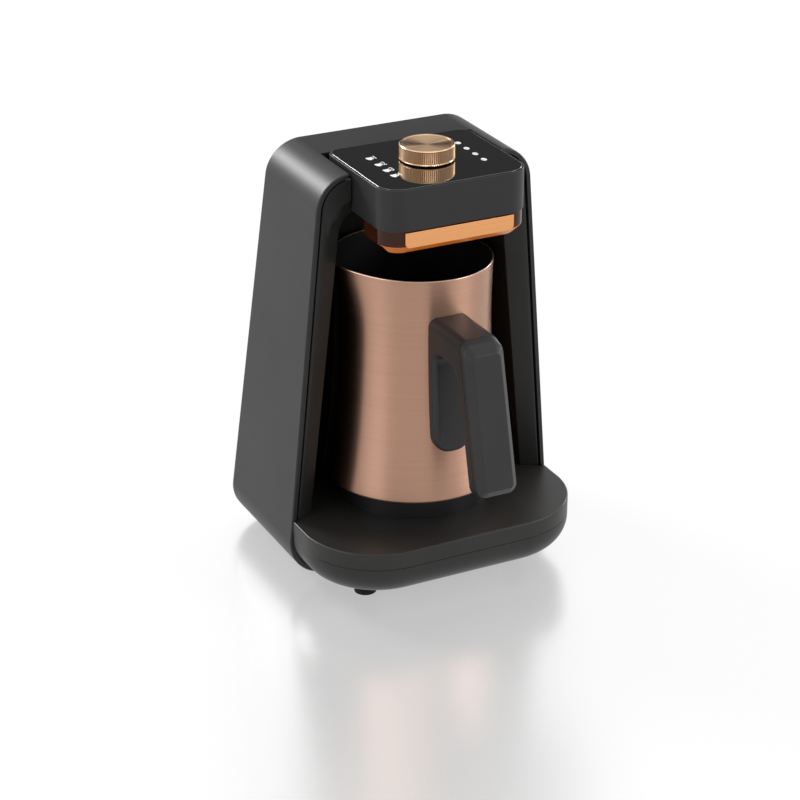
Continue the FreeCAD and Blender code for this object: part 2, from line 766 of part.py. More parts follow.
def make_heater():
    collar = new_body("plate_collar")
    drum(collar, "0", "pot_y", ("tray_top", COLLAR_TOP), COLLAR_RADIUS)
    drum(collar, "0", "pot_y", ("(tray_top - 1)", f"({COLLAR_TOP} + 1)"), COLLAR_INSIDE, cut=True)
    plate = new_body("heating_plate")
    drum(plate, "0", "pot_y", (f"({PLATE_UNDER} + plate_thick / 2)", "plate_top"), "plate_radius")
    drum(plate, "0", "pot_y", (PLATE_UNDER, "(plate_top - 1)"), f"({COLLAR_INSIDE} - fit_gap)")
    rounded(plate, "plate_edge_round", lambda e: e.BoundBox.ZMin > value("plate_top") - 0.1)
    element = new_body("heating_element")
    ring = element.newObject("PartDesign::AdditiveTorus", "Ring")
    bind(ring, Radius1="element_radius", Radius2="element_tube")
    place(ring, "0", "pot_y", f"{PLATE_UNDER} - element_tube")
    for side in (1, -1):
        drum(element, f"{side} * element_tube * 2", PIN_Y, (PIN_LOW, f"({PLATE_UNDER} - element_tube)"),
             "element_tube / 2")
    shield = new_body("heat_shield")
    under = "(tray_top - tray_wall)"
    drum(shield, "0", "pot_y", (f"({under} - shield_thick)", under), "shield_radius")
    for side in (1, -1):
        drum(shield, f"{side} * element_tube * 2", PIN_Y,
             (f"({under} - shield_thick - 1)", f"({under} + 1)"), "element_tube", cut=True)
    stat = new_body("thermostat")
    stat_low = f"({PLATE_UNDER} - thermostat_height)"
    drum(stat, "0", "pot_y", (stat_low, PLATE_UNDER), "thermostat_radius")
    strap = new_body("thermostat_bracket")
    sketch = sketch_on(strap, "XZ_Plane", "-pot_y")
    low = f"({stat_low} - strap_thick)"
    reach = "strap_half_length"
    inside = f"({reach} - strap_thick)"
    polygon(sketch, [(f"-{reach}", low), (reach, low), (reach, PLATE_UNDER), (inside, PLATE_UNDER),
                     (inside, stat_low), (f"-{inside}", stat_low), (f"-{inside}", PLATE_UNDER),
                     (f"-{reach}", PLATE_UNDER)])
    pad(strap, sketch, "strap_width", symmetric=True)
    for name, side in (("thermal_fuse", 1), ("temperature_sensor", -1)):
        body = new_body(name)
        rod = body.newObject("PartDesign::AdditiveCylinder", "Rod")
        bind(rod, Radius="fuse_radius", Height="fuse_length")
        rod.Placement = FreeCAD.Placement(Vector(), ALONG_X)
        place(rod, "-fuse_length / 2", f"pot_y + {side} * sensor_offset", f"{PLATE_UNDER} - fuse_radius")


# Pot: one arc gives its whole side, from the foot to the rim.

def make_pot():
    body = new_body("pot_body")
    turned(body, curved_side(sketch_on(body, "XZ_Plane"), POT_BASE, POT_RIM, "0", None))
    spout = new_tool("spout_outside")
    spout_cone(spout, "0")
    combine(body, spout, "Fuse")
    rounded(body, "pot_foot_round",
            lambda e: e.BoundBox.ZMax < value("plate_top") + value("pot_stand_gap") + 0.1)
    hollow = new_tool("pot_hollow")
    turned(hollow, curved_side(sketch_on(hollow, "XZ_Plane"), f"({POT_BASE} + pot_floor)",
                               f"({POT_RIM} + 1)", "pot_wall", None))
    beak = new_tool("spout_inside")
    spout_cone(beak, "pot_wall")
    combine(hollow, beak, "Fuse")
    combine(body, hollow, "Cut")
    body.Placement = FreeCAD.Placement()
    place(body, "0", "pot_y", "0")
    return body


def spout_cone(body, wall):
    """A slim cone that pushes the rim out to one side."""
    cone = body.newObject("PartDesign::AdditiveCone", "Spout")
    bind(cone, Radius1="0.4", Radius2=f"spout_radius - {wall}", Height="spout_drop")
    place(cone, f"-({pot_radius(POT_RIM)} + spout_reach - spout_radius)", "0",
          f"{POT_RIM} - spout_drop + {wall} * 0.9")


# Handle: a strap on the pot carries the pad, arm and grip; a cover closes the grip's front.

def pot_solid(name, z, outer, angle=None, inner=None):
    """A turned tool that follows the pot's outside."""
    tool = new_tool(name)
    turned(tool, curved_side(sketch_on(tool, "XZ_Plane"), z[0], z[1], outer, inner), angle=angle)
    return tool


def face_front(body):
    """Turns a body made along +X to the front of the pot."""
    body.Placement = FreeCAD.Placement(Vector(), FreeCAD.Rotation(Z_AXIS, -90))


def make_handle():
    body = new_body("handle_body")
    level = f"grip_cover_thick * {GRIP_LENGTH}"
    back = f"grip_thick * {GRIP_LENGTH}"
    inner = "-(pot_waist_radius - 4)"
    seam_bottom = "(grip_bottom + grip_slope * (grip_thick - grip_cover_thick))"
    sketch = sketch_on(body, "YZ_Plane")
    polygon(sketch, [
        (inner, "pad_bottom"), ("-(pad_reach + pad_flare)", "pad_bottom"), ("-pad_reach", "arm_bottom"),
        (f"-({grip_line('arm_bottom')} - {back})", "arm_bottom"),
        (f"-({grip_line('grip_bottom')} - {back})", "grip_bottom"),
        (f"-({grip_line(seam_bottom)} - {level})", seam_bottom),
        (f"-({grip_line('handle_top')} - {level})", "handle_top"), (inner, "handle_top")])
    pad(body, sketch, "handle_width", symmetric=True)
    low, high = value("arm_bottom") - 0.1, value("arm_bottom") + 0.1
    rounded(body, "handle_corner", lambda e: along(e, X_AXIS, 0.01) and low < mid(e).z < high)
    side = value("handle_width") / 2 - 0.1
    near_pot = -value("pot_waist_radius") + 3
    line = [value("grip_front") - value("grip_cover_thick") - 1.5, value("grip_slope"),
            value("handle_top")]
    rounded(body, "handle_round",
            lambda e: abs(mid(e).x) > side and mid(e).y < near_pot
            and -mid(e).y < line[0] + line[1] * (line[2] - mid(e).z))
    around = pot_solid("pot_around_handle", ("(pad_bottom - 9)", "(handle_top + 9)"), "-fit_gap")
    combine(body, around, "Cut")
    slot = pot_solid("strap_slot", ("(strap_low - fit_gap)", "(strap_high + fit_gap)"),
                     "-(strap_thick + fit_gap * 2)",
                     angle="slot_angle")
    face_front(slot)
    combine(body, slot, "Cut")
    half = "(strap_width / 2 + fit_gap)"
    box(body, (f"-{half}", half),
        ("-(handle_screw_reach + strap_width / 2 + fit_gap)", "-pot_waist_radius"),
        ("(strap_high - strap_thick - fit_gap)", "(strap_high + fit_gap)"), cut=True)
    drum(body, "0", "-handle_screw_reach", ("arm_bottom - 1", "(arm_bottom + screw_length * 1.4)"),
         "screw_radius + fit_gap", cut=True)
    drum(body, "0", "-handle_screw_reach", ("arm_bottom - 1", "(arm_bottom + screw_head_height + 1)"),
         "screw_head_radius + fit_gap", cut=True)
    place(body, "0", "pot_y", "0")

    cover = new_body("grip_cover")
    sketch = sketch_on(cover, "YZ_Plane")
    front_bottom = "(grip_bottom + grip_slope * grip_thick)"
    top = "(handle_top - grip_cover_drop)"
    polygon(sketch, [
        (f"-({grip_line(seam_bottom)} - {level})", seam_bottom),
        (f"-{grip_line(front_bottom)}", front_bottom), (f"-{grip_line(top)}", top),
        (f"-({grip_line('handle_top')} - {level})", "handle_top")])
    pad(cover, sketch, "handle_width", symmetric=True)
    side = value("handle_width") / 2 - 0.1
    rounded(cover, "grip_bevel", lambda e: abs(mid(e).x) > side
            and -mid(e).y > line[0] + 3.5 + line[1] * (line[2] - mid(e).z) and e.Length > 40, "Chamfer")
    rounded(cover, "handle_corner * 0.6", lambda e: along(e, X_AXIS, 0.01)
            and mid(e).y < -value("grip_front") and mid(e).z > value("arm_bottom"))
    place(cover, "0", "pot_y", "0")

    bracket = new_body("handle_bracket")
    turned(bracket, curved_side(sketch_on(bracket, "XZ_Plane"), "strap_low", "strap_high",
                                "-(strap_thick + fit_gap)",
                                 "-fit_gap"), angle="strap_angle")
    box(bracket, ("pot_waist_radius + strap_thick / 2", "(handle_screw_reach + strap_width / 2)"),
        ("-strap_width / 2", "strap_width / 2"), ("(strap_high - strap_thick)", "strap_high"))
    drum(bracket, "handle_screw_reach", "0", ("strap_high - strap_thick - 1", "strap_high + 1"),
         "screw_radius + fit_gap", cut=True)
    face_front(bracket)
    place(bracket, "0", "pot_y", "0")
    screws("handle_screw", [("0", "pot_y - handle_screw_reach", "(arm_bottom + screw_head_height + 1)")],
           1,
           "screw_length")


def screws(name, spots, way, length):
    """A group of pan-head screws; way 1 points their shanks up, -1 down."""
    group = []
    for x, y, z in spots:
        shank = doc.addObject("Part::Cylinder", "Shank")
        head = doc.addObject("Part::Cylinder", "Head")
        slot = doc.addObject("Part::Box", "Slot")
        bind(shank, Radius="screw_radius", Height=length)
        bind(head, Radius="screw_head_radius", Height="screw_head_height")
        bind(slot, Length="screw_head_radius * 1.4", Width="screw_radius * 0.4",
             Height="screw_head_height")
        place(shank, x, y, z if way > 0 else f"{z} - {length}")
        place(head, x, y, f"{z} - screw_head_height" if way > 0 else z)
        slot_z = f"{z} - screw_head_height * 1.5" if way > 0 else f"{z} + screw_head_height / 2"
        place(slot, f"{x} - screw_head_radius * 0.7", f"{y} - screw_radius * 0.2", slot_z)
        whole = doc.addObject("Part::MultiFuse", "Screw")
        whole.Shapes = [shank, head]
        cut = doc.addObject("Part::Cut", "SlottedScrew")
        cut.Base, cut.Tool = whole, slot
        group.append(cut)
    if len(group) == 1:
        return keep(group[0], name)
    compound = doc.addObject("Part::Compound", name)
    compound.Links = group
    return keep(compound, name)


# Head: housing, glass, amber band with its plate, and the underside with the foam sensor.

def head_outline(body, z, inset, y_back, corner, back_corner=None):
    """The head's plan between two heights, drawn in from its edge, with round corners."""
    half = f"(head_half_width - {inset})"
    box(body, (f"-{half}", half), (f"(head_front + {inset})", y_back), z)
    rounded(body, f"{corner} - {inset}",
            lambda e: along(e, Z_AXIS, 0.01) and mid(e).y < value("head_front") / 2)
    if back_corner:
        rounded(body, f"{back_corner} - {inset}",
                lambda e: along(e, Z_AXIS, 0.01) and mid(e).y > value("head_back") / 2)


def make_head():
    body = new_body("head_housing")
    head_outline(body, (CEILING, "head_rim"), "0", "head_back", "head_corner", "head_back_corner")
    lower = new_tool("head_lower")
    head_outline(lower, ("head_bottom", f"({CEILING} + 1)"), "0", HEAD_STEP, "head_corner")
    combine(body, lower, "Fuse")
    bed = new_tool("head_bed")
    head_outline(bed, (GLASS_BED, "(head_rim + 5)"), "head_lip", "(head_back - head_lip)", "head_corner",
                 "head_back_corner")
    combine(body, bed, "Cut")
    hollow = new_tool("head_hollow")
    head_outline(hollow, (HEAD_FLOOR, "(head_rim + 5)"), "head_wall", "(head_back - head_wall)",
                 "head_corner",
                 "head_back_corner")
    combine(body, hollow, "Cut")
    for x, y in BOARD_SCREWS:
        drum(body, x, y, (f"({HEAD_FLOOR} - 1)", "control_z"), "post_radius")
        drum(body, x, y, (HEAD_FLOOR, "(control_z + 1)"), "screw_radius + fit_gap", cut=True)
    drum(body, "0", "sensor_y", ("(head_bottom - 1)", f"({HEAD_FLOOR} + 1)"), "sensor_radius", cut=True)
    box(body, ("-ribbon_width / 2 - 1", "ribbon_width / 2 + 1"),
        ("(head_back - head_wall - 1)", "(head_back + 1)"),
        (f"({HEAD_FLOOR} + 1)", "(control_z - 0.2)"), cut=True)

    glass = new_body("glass_panel")
    head_outline(glass, (GLASS_BED, "glass_top"), "(head_lip + glass_gap)",
                 "(head_back - head_lip - glass_gap)",
                 "head_corner", "head_back_corner")
    drum(glass, "0", "knob_y", (f"({GLASS_BED} - 1)", "(glass_top + 1)"), "glass_hole_radius", cut=True)

    band = new_body("light_band")
    head_outline(band, ("band_bottom", "head_bottom"), "band_inset", "band_back", "head_corner")
    rounded(band, "band_bevel", lambda e: e.BoundBox.ZMax < value("band_bottom") + 0.1
            and e.BoundBox.YMin < value("band_back") - 0.1, "Chamfer")
    core = new_tool("band_core")
    head_outline(core, ("(band_bottom - 1)", "(head_bottom + 1)"), BAND_CORE, "(band_back + 5)",
                 "head_corner")
    combine(band, core, "Cut")

    plate = new_body("band_plate")
    box(plate, ("-plate_half_width", "plate_half_width"),
        (f"({PLATE_BACK} - band_plate_thick)", PLATE_BACK),
        ("band_plate_bottom", "band_plate_top"))
    rounded(plate, "band_plate_corner", lambda e: along(e, Y_AXIS, 0.01)
            and mid(e).z < value("band_plate_bottom") + 1)

    under = new_body("head_bottom_cover")
    sketch = sketch_on(under, "YZ_Plane")
    front = f"(head_front + {BAND_CORE} + fit_gap)"
    polygon(sketch, [(front, "(band_bottom + 1)"), ("(band_back - 2)", "(band_bottom + 1)"),
                     (f"({HEAD_STEP} - 2)", "head_bottom"), (front, "head_bottom")])
    pad(under, sketch, f"2 * (head_half_width - {BAND_CORE} - fit_gap)", symmetric=True)
    rounded(under, f"head_corner - {BAND_CORE} - fit_gap",
            lambda e: along(e, Z_AXIS, 0.01) and mid(e).y < value("head_front") / 2)
    hollow = new_tool("under_hollow")
    head_outline(hollow, ("(band_bottom + 1 + cover_skin)", "(head_bottom + 1)"),
                 f"({BAND_CORE} + cover_skin)",
                 "(band_back - 3 * cover_skin)",
                 "head_corner")
    combine(under, hollow, "Cut")
    drum(under, "0", "sensor_y", ("band_bottom", "(band_bottom + 4)"), "sensor_radius + fit_gap",
         cut=True)
    for side in (1, -1):
        drum(under, f"{side} * sensor_post_x", "sensor_y", ("(band_bottom + 2)", SENSOR_Z), "post_radius")

    window = new_body("sensor_window")
    skin_top = "(band_bottom + 1 + cover_skin)"
    drum(window, "0", "sensor_y", ("(band_bottom + 1)", skin_top), "sensor_radius")
    drum(window, "0", "sensor_y", (skin_top, f"({skin_top} + board_thick / 2)"),
         "sensor_radius + sensor_flange")
    board = new_body("sensor_board")
    box(board, ("-sensor_board_half", "sensor_board_half"),
        ("(sensor_y - sensor_board_depth)", "(sensor_y + sensor_board_depth)"),
        (SENSOR_Z, f"({SENSOR_Z} + board_thick)"))
    box(board, ("-sensor_chip / 2", "sensor_chip / 2"),
        ("(sensor_y - sensor_chip / 2)", "(sensor_y + sensor_chip / 2)"),
        (f"({SENSOR_Z} - board_thick)", f"({SENSOR_Z} + board_thick / 2)"))


# Knob on its encoder: the rotor turns in the encoder, the shaft slides down through the rotor.

def make_knob():
    encoder = new_body("encoder_body")
    half = "(encoder_width / 2)"
    y_low, y_high = f"(knob_y - {half})", f"(knob_y + {half})"
    box(encoder, (f"-{half}", half), (y_low, y_high), (BOARD_TOP, f"({BOARD_TOP} + encoder_height)"))
    drum(encoder, "0", "knob_y", (f"({BOARD_TOP} + encoder_height - 1)", f"({GLASS_BED} + 0.6)"),
         "shaft_radius + 1.2")
    drum(encoder, "0", "knob_y", (f"({BOARD_TOP} + 1)", f"({ROTOR_TOP} + fit_gap)"),
         "rotor_radius + fit_gap",
         cut=True)
    drum(encoder, "0", "knob_y", (f"({BOARD_TOP} + 1)", f"({GLASS_BED} + 5)"),
         "shaft_radius + shaft_gap", cut=True)
    rotor = new_body("encoder_rotor")
    drum(rotor, "0", "knob_y", (ROTOR_LOW, ROTOR_TOP), "rotor_radius")
    shaft_profile(rotor, (f"({ROTOR_LOW} - 1)", f"({ROTOR_TOP} + 1)"), "shaft_gap", cut=True)
    dome = new_body("press_dome")
    drum(dome, "0", "knob_y", (f"({BOARD_TOP} + 1)", DOME_TOP), "dome_radius")
    rounded(dome, "dome_height / 2",
            lambda e: e.BoundBox.ZMin > value("control_z") + value("board_thick") + 1.5)
    shaft = new_body("encoder_shaft")
    shaft_profile(shaft, (f"({DOME_TOP} + fit_gap)", KNOB_SEAT), "0")
    core = new_body("knob_core")
    drum(core, "0", "knob_y", (f"({KNOB_BASE} + 0.4)", KNOB_SEAT), "knob_radius - knob_wall")
    shaft_profile(core, (KNOB_BASE, f"({KNOB_SEAT} + 1)"), "shaft_gap", cut=True)
    cap = new_body("knob_cap")
    drum(cap, "0", "knob_y", (KNOB_BASE, f"({KNOB_BASE} + knob_height)"), "knob_radius")
    rounded(cap, "knob_round", lambda e: e.BoundBox.ZMin > value("glass_top") + value("knob_height"))
    drum(cap, "0", "knob_y", (f"({KNOB_BASE} - 1)", KNOB_SEAT), "knob_radius - knob_wall", cut=True)


def shaft_profile(body, z, gap, cut=False):
    """A round shaft with a flat, or the hole for it."""
    tool = new_tool("shaft_form")
    drum(tool, "0", "knob_y", z, f"shaft_radius + {gap}")
    box(tool, ("-shaft_radius * 2", "shaft_radius * 2"),
        (f"(knob_y + shaft_flat + {gap})", "(knob_y + shaft_radius * 2)"),
        (f"({z[0]} - 1)", f"({z[1]} + 1)"),
        cut=True)
    combine(body, tool, "Cut" if cut else "Fuse")


# Boards and what stands on them.

def make_control_board():
    board = new_body("control_board")
    half = "control_half_width"
    box(board, (f"-{half}", half), ("control_front", "control_back"), ("control_z", BOARD_TOP))
    for x, y in BOARD_SCREWS:
        drum(board, x, y, ("(control_z - 1)", f"({BOARD_TOP} + 1)"), "screw_radius + fit_gap", cut=True)
    screws("board_screws", [(x, y, BOARD_TOP) for x, y in BOARD_SCREWS], -1, "screw_length * 0.9")
    guides = doc.addObject("Part::Compound", "light_guides")
    columns = []
    for side in (1, -1):
        column = doc.addObject("Part::Box", "Guide")
        bind(column, Length="guide_width", Width="guide_back - guide_front",
             Height=f"{GLASS_BED} - fit_gap - {BOARD_TOP}")
        place(column, f"{side} * guide_x - guide_width / 2", "guide_front", BOARD_TOP)
        columns.append(column)
    guides.Links = columns
    keep(guides, "light_guides")
    lamps = doc.addObject("Part::Compound", "band_lamps")
    chips = []
    for number in range(LAMP_COUNT):
        chip = doc.addObject("Part::Box", "Lamp")
        bind(chip, Length="lamp_length", Width="lamp_width", Height="lamp_height")
        share = 2 * number / (LAMP_COUNT - 1) - 1
        place(chip, f"{share} * plate_half_width * 2 / 3 - lamp_length / 2",
              "(control_front + lamp_width / 2)",
              "control_z - lamp_height")
        chips.append(chip)
    lamps.Links = chips
    keep(lamps, "band_lamps")


def make_power_board():
    board = new_body("power_board")
    half = "power_half_width"
    box(board, (f"-{half}", half), ("power_front", "power_back"), ("power_z", POWER_TOP))
    for x, y in POWER_POSTS:
        drum(board, x, y, ("(power_z - 1)", f"({POWER_TOP} + 1)"), "screw_radius + fit_gap", cut=True)
    screws("power_screws", [(x, y, POWER_TOP) for x, y in POWER_POSTS], -1, "screw_length * 0.55")
    for name in ("transformer", "relay", "filter_capacitor", "terminal_block"):
        piece = new_body(name)
        middle = f"(power_front + {name}_y)"
        box(piece, (f"({name}_x - {name}_length / 2)", f"({name}_x + {name}_length / 2)"),
            (f"({middle} - {name}_width / 2)", f"({middle} + {name}_width / 2)"),
            (POWER_TOP, f"({POWER_TOP} + {name}_height)"))
        rounded(piece, "component_round", lambda e: along(e, Z_AXIS, 0.01))
    buzzer = new_body("buzzer")
    middle = "(power_front + buzzer_y)"
    drum(buzzer, "buzzer_x", middle, (POWER_TOP, f"({POWER_TOP} + buzzer_height)"), "buzzer_radius")
    drum(buzzer, "buzzer_x", middle,
         (f"({POWER_TOP} + buzzer_height - buzzer_hole)", f"({POWER_TOP} + buzzer_height + 1)"),
         "buzzer_hole", cut=True)


# Cord outlet and the leads inside. The cord itself isn't part of this model.

def make_gland():
    body = new_body("cord_gland")
    face = f"({rear_at('gland_z')} - cover_inset)"
    flange = "(gland_radius + gland_flange)"
    for radius, low, high, cut in ((flange, f"{face} + fit_gap", f"{face} + fit_gap + gland_flange",
                                    False),
                                   ("gland_radius", f"{face} - cover_wall - gland_tail", f"{face} + 1",
                                    False),
                                   ("gland_bore", f"{face} - 30", f"{face} + 30", True)):
        kind = "PartDesign::SubtractiveCylinder" if cut else "PartDesign::AdditiveCylinder"
        feature = body.newObject(kind, "Sleeve")
        bind(feature, Radius=radius, Height=f"{high} - ({low})")
        feature.Placement = FreeCAD.Placement(Vector(), UPRIGHT)
        place(feature, "gland_x", high, "gland_z")
    flat = new_tool("cover_face")
    wedge(flat, lambda z: "80", lambda z: f"({rear_at(z)} - cover_inset - cover_wall)",
          lambda z: f"({rear_at(z)} - cover_inset)", ("cover_bottom", "(cover_bottom + 40)"))
    sleeve = new_tool("cover_sleeve")
    combine(flat, gland_core(sleeve), "Cut")
    combine(body, flat, "Cut")


def gland_core(body):
    feature = body.newObject("PartDesign::AdditiveCylinder", "Sleeve")
    bind(feature, Radius="gland_radius", Height="60")
    feature.Placement = FreeCAD.Placement(Vector(), UPRIGHT)
    place(feature, "gland_x", "shell_rear + 20", "gland_z")
    return body


def make_leads():
    ribbon = new_body("ribbon_cable")
    sketch = sketch_on(ribbon, "YZ_Plane")
    low = f"({POWER_TOP})"
    start = "(power_back - 4)"
    back_low = "(tray_back + 3)"
    back_high = f"({alcove_rear(CEILING)} + alcove_wall + ribbon_seat)"
    over = f"({CEILING} + 1)"
    bend = f"({HEAD_FLOOR} + 2)"
    rise = f"({low} + ribbon_rise)"
    thick = "ribbon_thick"
    end = "(head_back - 12)"
    polygon(sketch, [(start, low), (f"({start} + {thick})", low), (f"({start} + {thick})", rise),
                     (f"({back_low} + {thick})", rise), (f"({back_low} + {thick})", "(tray_top + 5)"),
                     (f"({back_high} + {thick})", over),
                     (f"({back_high} + {thick})", f"({bend} + {thick})"),
                     (end, f"({bend} + {thick})"), (end, "control_z"),
                     (f"({end} - {thick})", "control_z"),
                     (f"({end} - {thick})", bend), (back_high, bend), (back_high, over),
                     (back_low, "(tray_top + 5)"), (back_low, f"({rise} + {thick})"),
                     (start, f"({rise} + {thick})")])
    pad(ribbon, sketch, "ribbon_width", symmetric=True)
    leads = []
    for side in (1, -1):
        lead = doc.addObject("Part::Cylinder", "Lead")
        bind(lead, Radius="lead_radius", Height=f"{PIN_LOW} - ({low})")
        place(lead, f"{side} * element_tube * 2", PIN_Y, low)
        leads.append(lead)
    pair = doc.addObject("Part::Compound", "heater_leads")
    pair.Links = leads
    keep(pair, "heater_leads")


def write_parts():
    doc.recompute()
    for item in doc.Objects:
        if "Invalid" in item.State or "Error" in item.State:
            raise ValueError(f"{item.Label} failed: {item.State}")
    os.makedirs("parts", exist_ok=True)
    for item in parts:
        shape = item.Shape
        if shape.isNull() or not shape.isValid() or not shape.Solids:
            raise ValueError(f"{item.Label} has no valid solid")
        shape.exportStep(f"parts/{item.Label}.step")
        print(f"{item.Label}: {len(shape.Solids)} solid, {shape.Volume:.0f} mm3")


make_outer_shell()
make_alcove()
make_rear_cover()
make_base_tray()
make_base_pan()
make_feet()
make_heater()
make_pot()
make_handle()
make_head()
make_knob()
make_control_board()
make_power_board()
make_gland()
make_leads()
write_parts()
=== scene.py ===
import bpy
import math
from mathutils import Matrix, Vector


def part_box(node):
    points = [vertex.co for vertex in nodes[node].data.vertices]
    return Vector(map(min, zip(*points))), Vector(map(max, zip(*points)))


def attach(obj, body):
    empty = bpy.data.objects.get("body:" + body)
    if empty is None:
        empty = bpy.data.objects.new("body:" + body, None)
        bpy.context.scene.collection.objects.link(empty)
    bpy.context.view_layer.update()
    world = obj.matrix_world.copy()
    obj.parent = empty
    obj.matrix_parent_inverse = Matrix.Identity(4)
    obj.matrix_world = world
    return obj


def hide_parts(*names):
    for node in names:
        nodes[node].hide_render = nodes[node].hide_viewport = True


# Turkish coffee maker: black moulded body, copper pot, glass panel with a spun knob.
# Metres, same frame as the construction: X to the right, Y to the back, Z up, origin on the table.

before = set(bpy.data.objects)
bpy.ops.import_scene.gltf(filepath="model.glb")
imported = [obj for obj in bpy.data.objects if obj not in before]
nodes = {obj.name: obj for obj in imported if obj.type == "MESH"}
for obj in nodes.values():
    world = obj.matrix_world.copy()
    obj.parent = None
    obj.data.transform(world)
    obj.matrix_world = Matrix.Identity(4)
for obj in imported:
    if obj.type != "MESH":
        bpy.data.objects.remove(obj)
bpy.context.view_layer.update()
mm = 0.001
print("frame loaded:", len(nodes), "nodes")


# Small helpers.

def toLinear(hexCode):
    # sRGB hex to the linear values that the shaders take
    channels = [int(hexCode[k:k + 2], 16) / 255 for k in (1, 3, 5)]
    return [c / 12.92 if c <= 0.04045 else ((c + 0.055) / 1.055) ** 2.4 for c in channels] + [1.0]


def addNode(tree, kind, settings=None, links=None):
    node = tree.nodes.new(kind)
    for key, value in (settings or {}).items():
        if key == "stops":
            # a ramp's two stops, each with its position and its colour
            for stop, (position, colour) in zip(node.color_ramp.elements, value):
                stop.position = position
                stop.color = toLinear(colour)
        elif isinstance(key, int) or key in node.inputs:
            node.inputs[key].default_value = value
        else:
            setattr(node, key, value)
    for socket, source in (links or {}).items():
        tree.links.new(source, node.inputs[socket])
    return node


def emptyTree(owner):
    # turns on the nodes of a material or of the world, with none made yet
    owner.use_nodes = True
    owner.node_tree.nodes.clear()
    return owner.node_tree


def startMaterial(name, settings):
    material = bpy.data.materials.new(name)
    tree = emptyTree(material)
    shader = addNode(tree, "ShaderNodeBsdfPrincipled", settings)
    addNode(tree, "ShaderNodeOutputMaterial", links={"Surface": shader.outputs["BSDF"]})
    place = addNode(tree, "ShaderNodeTexCoord").outputs["Object"]
    return material, tree, shader, place


def activate(piece):
    if bpy.context.object and bpy.context.object.mode != "OBJECT":
        bpy.ops.object.mode_set(mode="OBJECT")
    bpy.ops.object.select_all(action="DESELECT")
    piece.select_set(True)
    bpy.context.view_layer.objects.active = piece


def applyModifiers(piece):
    activate(piece)
    for modifier in list(piece.modifiers):
        bpy.ops.object.modifier_apply(modifier=modifier.name)


def smoothShading(piece, angle=35):
    # big flat faces keep their own normals, so that a flat wall stays flat up to its round edge
    activate(piece)
    bpy.ops.object.shade_smooth_by_angle(angle=math.radians(angle))
    weighted = piece.modifiers.new("Normals", "WEIGHTED_NORMAL")
    weighted.keep_sharp = True
    weighted.weight = 100
    applyModifiers(piece)


def finishPiece(piece, body, slotName, *replaced):
    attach(piece, body)
    if replaced:
        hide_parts(*replaced)


# Materials. Patterns are scaled from real sizes in millimetres.

def mouldedPlastic(name, deep, pale, roughness, grain=1.2, level=0.5):
    # spark-eroded mould skin: an even satin sheen with a fine grain, drawn coarser than the real
    # 0.2 mm so that it shows, and a slow change of tone from the melt's flow
    material, tree, shader, place = startMaterial(name, {"Roughness": roughness, "IOR": 1.5,
                                                         "Specular IOR Level": level})
    flow = addNode(tree, "ShaderNodeTexNoise", {"Scale": 1 / (55 * mm), "Detail": 2.0}, {"Vector": place})
    tone = addNode(tree, "ShaderNodeValToRGB", {"stops": [(0.3, deep), (0.7, pale)]},
                   {"Fac": flow.outputs["Fac"]})
    skin = addNode(tree, "ShaderNodeTexNoise", {"Scale": 1 / (grain * mm), "Detail": 3.0}, {"Vector": place})
    gloss = addNode(tree, "ShaderNodeMapRange", {"To Min": roughness - 0.03, "To Max": roughness + 0.04},
                    {"Value": skin.outputs["Fac"]})
    bump = addNode(tree, "ShaderNodeBump", {"Strength": 0.35, "Distance": 0.02 * mm},
                   {"Height": skin.outputs["Fac"]})
    tree.links.new(tone.outputs["Color"], shader.inputs["Base Color"])
    tree.links.new(gloss.outputs["Result"], shader.inputs["Roughness"])
    tree.links.new(bump.outputs["Normal"], shader.inputs["Normal"])
    return material


def lacqueredCopper(name, deep, pale, roughness, stretch=0.0):
    # satin copper lacquer over a metal turned round its axis: lights become soft upright bands
    material, tree, shader, place = startMaterial(name, {"Metallic": 1.0, "Roughness": roughness,
                                                         "Anisotropic": stretch,
                                                         "Anisotropic Rotation": 0.25})
    around = addNode(tree, "ShaderNodeTangent", {"direction_type": "RADIAL", "axis": "Z"})
    tree.links.new(around.outputs["Tangent"], shader.inputs["Tangent"])
    streaks = addNode(tree, "ShaderNodeMapping", {"Scale": (1 / (90 * mm), 1 / (90 * mm), 1 / (0.8 * mm))},
                      {"Vector": place})
    brush = addNode(tree, "ShaderNodeTexNoise", {"Scale": 1.0, "Detail": 3.0},
                    {"Vector": streaks.outputs["Vector"]})
    tone = addNode(tree, "ShaderNodeValToRGB", {"stops": [(0.25, deep), (0.75, pale)]},
                   {"Fac": brush.outputs["Fac"]})
    gloss = addNode(tree, "ShaderNodeMapRange", {"To Min": roughness - 0.03, "To Max": roughness + 0.05},
                    {"Value": brush.outputs["Fac"]})
    bump = addNode(tree, "ShaderNodeBump", {"Strength": 0.15, "Distance": 0.01 * mm},
                   {"Height": brush.outputs["Fac"]})
    tree.links.new(tone.outputs["Color"], shader.inputs["Base Color"])
    tree.links.new(gloss.outputs["Result"], shader.inputs["Roughness"])
    tree.links.new(bump.outputs["Normal"], shader.inputs["Normal"])
    return material


